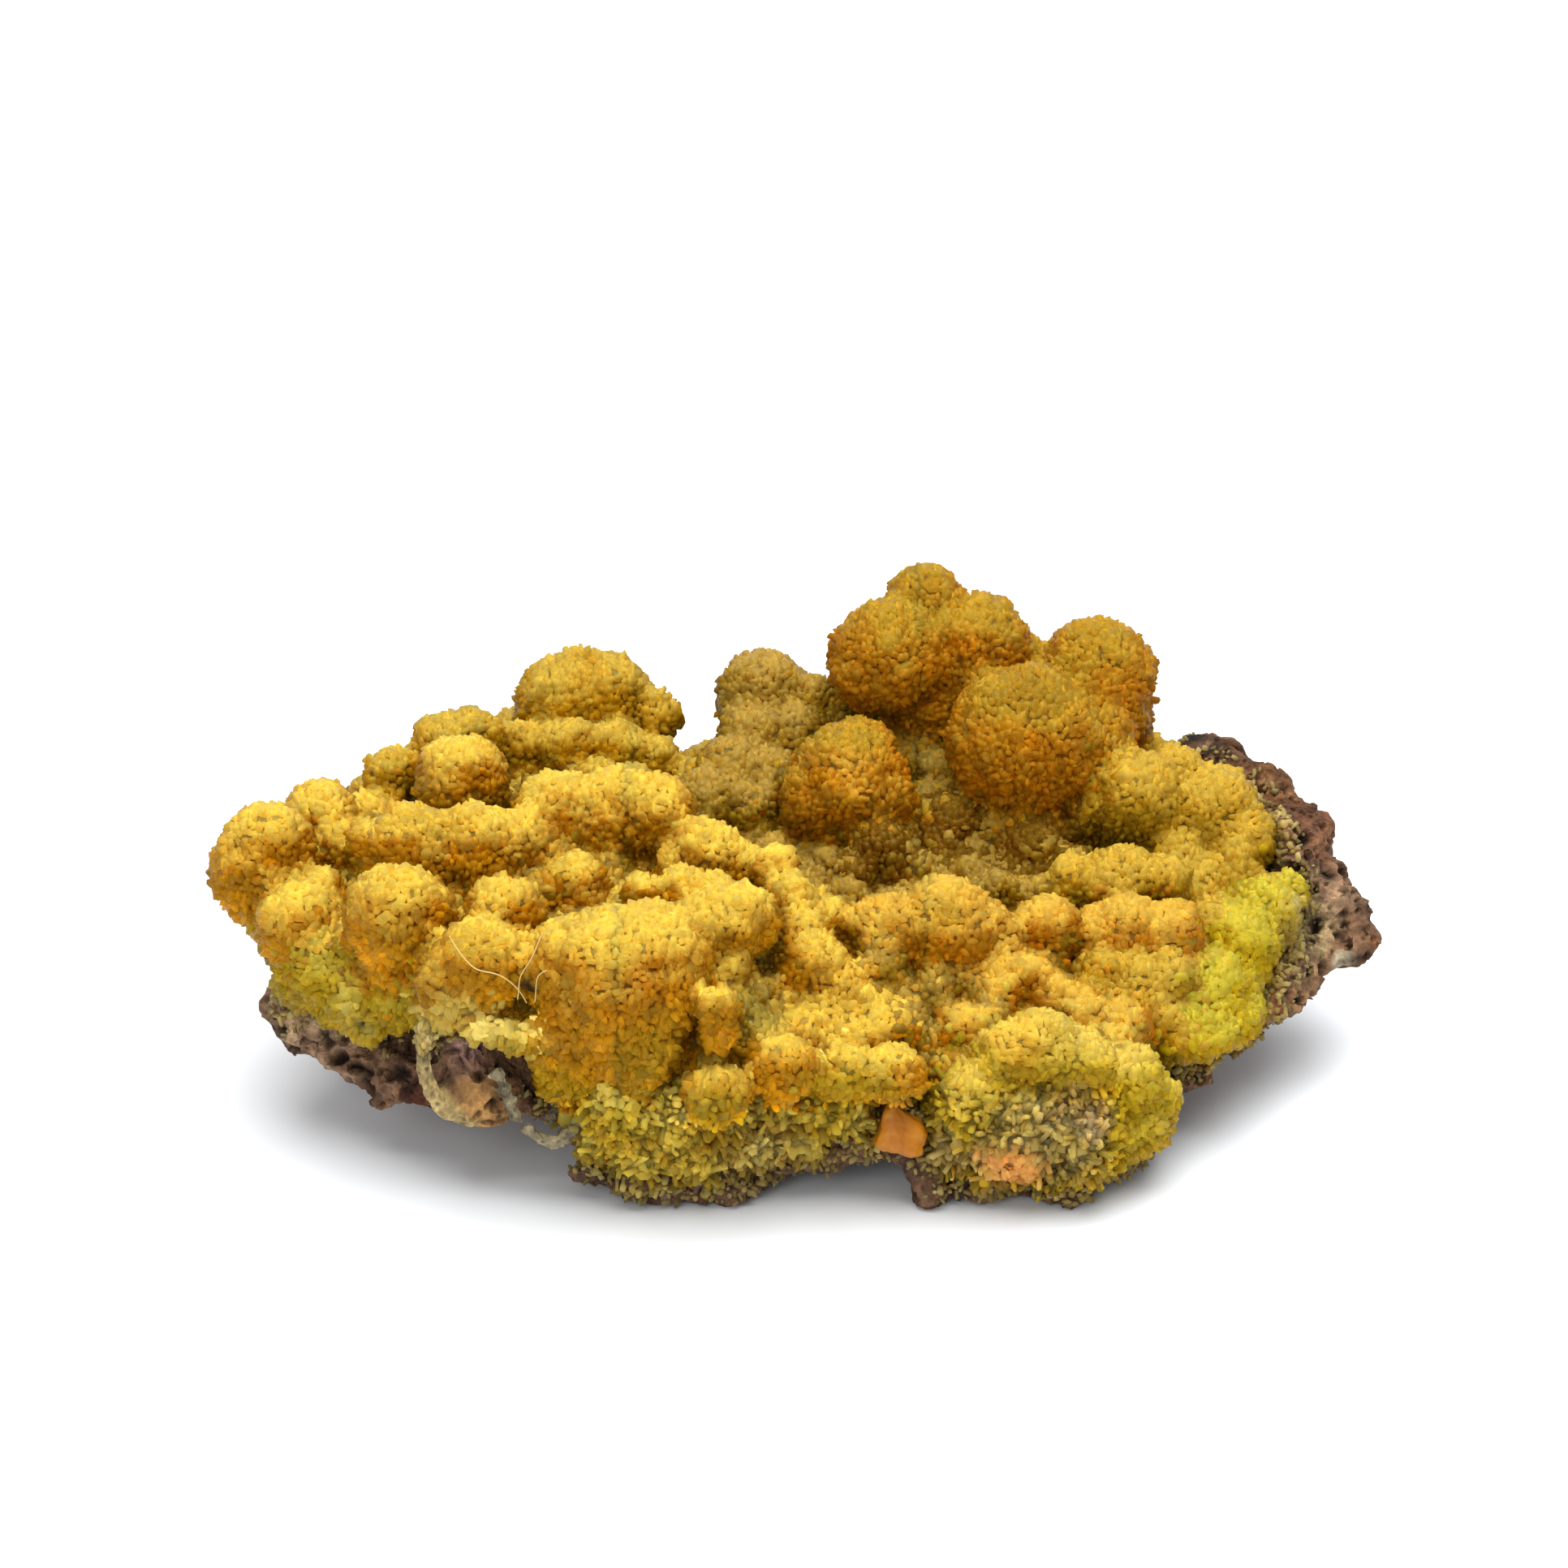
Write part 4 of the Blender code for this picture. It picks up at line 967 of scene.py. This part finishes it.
def orange_wulfenite():
    """Wulfenite grown as one compact crystal and worn smooth: a waxy sheen, soft edges, a little light inside."""
    material, tree, shader = new_material("wulfenite_grown_worn")
    place = add(tree, "ShaderNodeTexCoord", (-1000, 0))
    spot = (place.outputs["Object"], "Vector")
    cloud = add(tree, "ShaderNodeTexNoise", (-800, 0), [spot], Scale=1 / (WULFENITE_CLOUD * MM), Detail=3.0)
    ramp = add(tree, "ShaderNodeValToRGB", (-550, 0), [(cloud.outputs["Fac"], "Fac")])
    set_ramp(ramp, [(0.3, "#9C5600"), (0.7, "#BC780C")])
    tree.links.new(ramp.outputs["Color"], shader.inputs["Base Color"])
    set_values(shader, Roughness=0.45, IOR=2.3, Specular_IOR_Level=0.1)
    let_light_in(shader, 0.3, (1.0, 0.4, 0.1), 0.6)
    return material


def spun_cotton():
    """Cotton, spun and frayed: a matte pale thread with no highlight."""
    material, _, shader = new_material("cotton_spun_frayed")
    set_values(shader, Base_Color=(*linear("#D8BC78"), 1), Roughness=0.7)
    return material


def uncoated_paper():
    """Paper, pressed and uncoated: matte, so that the shadow stays soft and nothing mirrors."""
    material, tree, shader = new_material("paper_pressed_uncoated")
    place = add(tree, "ShaderNodeTexCoord", (-800, 0))
    spot = (place.outputs["Object"], "Vector")
    tooth = add(tree, "ShaderNodeTexNoise", (-600, 0), [spot], Scale=1 / (PAPER_TOOTH * MM), Detail=3.0)
    height = (tooth.outputs["Fac"], "Height")
    bump = add(tree, "ShaderNodeBump", (-350, -100), [height], Strength=0.05, Distance=0.1 * MM)
    tree.links.new(bump.outputs["Normal"], shader.inputs["Normal"])
    set_values(shader, Base_Color=(*linear("#EEF1F4"), 1), Roughness=0.75)
    return material


def make_grain():
    """The orange grain, worn, with its peak at the left and a lower corner at the right."""
    grain = copy_of("orange_crystal", "orange_grain")
    remesh(grain, GRAIN_VOXEL)
    smooth = grain.modifiers.new("worn edges", "SMOOTH")
    smooth.factor, smooth.iterations = 0.5, 4
    apply_modifiers(grain)
    points = coordinates(grain.data)
    for i, (place, normal) in enumerate(zip(points.copy(), vertex_normals(grain.data))):
        where = Vector(place)
        points[i] += normal * (0.10 * noise.noise(where / 0.9) + 0.05 * noise.noise(where / 0.3))
        right, left = min(1, max(0, (place[0] - 4.5) / 1.6)), min(1, max(0, (4.2 - place[0]) / 0.7))
        points[i][2] = GRAIN_FOOT + (points[i][2] - GRAIN_FOOT) * (1 - 0.42 * right - 0.25 * left)
    set_coordinates(grain.data, points)
    grain.data.shade_smooth()
    return grain


# The lint fibres: their radius, and their paths over the balls
FIBRE_RADIUS = 0.026
FIBRES = {
    "lint_fibre_long": [
        (-16.3, -13.7, 14.8), (-16.0, -13.9, 14.3), (-15.6, -14.1, 13.8), (-15.1, -14.3, 13.3), (-14.5, -14.3, 13.2),
        (-13.9, -14.2, 13.0), (-13.3, -13.9, 12.3), (-13.0, -13.6, 11.7), (-12.8, -13.4, 11.1),
    ],
    "lint_fibre_short": [
        (-11.9, -14.6, 15.4), (-12.2, -14.5, 14.6), (-12.4, -14.4, 14.0), (-12.8, -14.2, 13.3), (-13.1, -14.0, 12.7),
        (-13.1, -13.8, 12.1), (-13.2, -13.6, 11.4),
    ],
    "lint_fibre_end": [
        (-11.7, -15.1, 13.7), (-12.1, -14.6, 13.3), (-12.3, -14.2, 12.7), (-12.3, -14.0, 12.0), (-12.4, -13.5, 11.2),
    ],
}


def make_fibre(name, path, material):
    """One lint fibre along its path."""
    curve = bpy.data.curves.new(name, "CURVE")
    curve.dimensions = "3D"
    curve.bevel_depth = FIBRE_RADIUS * MM
    curve.bevel_resolution = 1
    curve.use_fill_caps = True
    curve.resolution_u = 6
    spline = curve.splines.new("NURBS")
    spline.points.add(len(path) - 1)
    for point, place in zip(spline.points, path):
        point.co = (*in_frame(place), 1)
    spline.order_u = 4
    spline.use_endpoint_u = True
    obj = link(name, curve)
    curve.materials.append(material)
    return obj


def make_stage():
    """A sheet of white paper that curves up behind."""
    bm = bmesh.new()
    profile = [(-0.9, 0.0), (0.5, 0.0)]
    profile += [(0.5 + 0.4 * math.sin(a), 0.4 - 0.4 * math.cos(a)) for a in [math.radians(d) for d in range(6, 91, 6)]]
    profile += [(0.9, 1.2)]
    rows = [[bm.verts.new((x, y, z)) for y, z in profile] for x in (-1.4, 1.4)]
    for k in range(len(profile) - 1):
        bm.faces.new((rows[0][k], rows[1][k], rows[1][k + 1], rows[0][k + 1]))
    mesh = bpy.data.meshes.new("paper_sweep")
    bm.to_mesh(mesh)
    bm.free()
    sweep = link("paper_sweep", mesh)
    mesh.shade_smooth()
    mesh.materials.append(uncoated_paper())


def make_light(name, place, size, energy):
    """A soft box that faces the specimen: place and size in metres, energy in watts."""
    data = bpy.data.lights.new(name, "AREA")
    data.shape = "RECTANGLE"
    data.size, data.size_y = size
    data.energy = energy
    light = bpy.data.objects.new(name, data)
    bpy.context.scene.collection.objects.link(light)
    light.location = place
    light.rotation_euler = (-Vector(place)).to_track_quat("-Z", "Y").to_euler()


def make_camera():
    """At the photograph's angle above the specimen, with a long lens."""
    camera = bpy.data.objects.new("camera", bpy.data.cameras.new("camera"))
    bpy.context.scene.collection.objects.link(camera)
    raised = math.radians(CAMERA_RISE)
    back = Vector((0, -CAMERA_AWAY * math.cos(raised), CAMERA_AWAY * math.sin(raised)))
    camera.location = in_frame(Vector(CAMERA_AIM) + back)
    camera.rotation_euler = (math.pi / 2 - raised, 0, 0)
    camera.data.lens = CAMERA_LENS
    camera.data.clip_start = 0.005
    bpy.context.scene.camera = camera


def dress():
    """Makes every piece, gives it its material, and lets it ride with the specimen."""
    rock = make_rock(random.Random(4))
    body, field = make_body(random.Random(38))
    balls = [(ball, tint) for tint, group in BALLS.values() for ball in group]
    balls += [(ball, "olive_gold") for ball in field]
    pieces = make_druse(body, rock, balls) + make_edge_growth(body, rock, balls)
    paint_body(body, balls)
    grain = make_grain()
    for piece in (body, rock, grain, *pieces):
        to_frame(piece)
    body.data.materials.append(mimetite_ground())
    rock.data.materials.append(vesicular_lava())
    grain.data.materials.append(orange_wulfenite())
    crystals = mimetite_druse()
    for piece in pieces:
        piece.data.materials.append(crystals)
        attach(piece, "root")
    for piece, node, slot in (
        (body, "mimetite_crust", "mimetite"), (rock, "matrix", "matrix_rock"), (grain, "orange_crystal", "orange_grain")
    ):
        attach(piece, "root")
        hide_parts(node)
    lint = spun_cotton()
    for name, path in FIBRES.items():
        fibre = make_fibre(name, path, lint)
        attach(fibre, "root")


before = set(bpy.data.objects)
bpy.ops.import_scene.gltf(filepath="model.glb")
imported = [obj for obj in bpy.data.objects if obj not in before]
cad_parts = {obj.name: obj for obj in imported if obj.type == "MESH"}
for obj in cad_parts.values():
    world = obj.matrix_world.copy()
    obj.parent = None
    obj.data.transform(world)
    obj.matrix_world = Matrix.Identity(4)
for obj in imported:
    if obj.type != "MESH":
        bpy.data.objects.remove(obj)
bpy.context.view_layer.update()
make_camera()
dress()
make_stage()
make_light("overhead", (0.05, 0.0, 0.75), (0.9, 0.7), 10)
make_light("front_fill", (-0.35, -0.75, 0.45), (0.5, 0.5), 2.2)
world = bpy.data.worlds.new("white_room")
world.use_nodes = True
set_values(world.node_tree.nodes["Background"], Color=(1, 1, 1, 1), Strength=0.42)
bpy.context.scene.world = world
bpy.context.scene.view_settings.view_transform = "Standard"
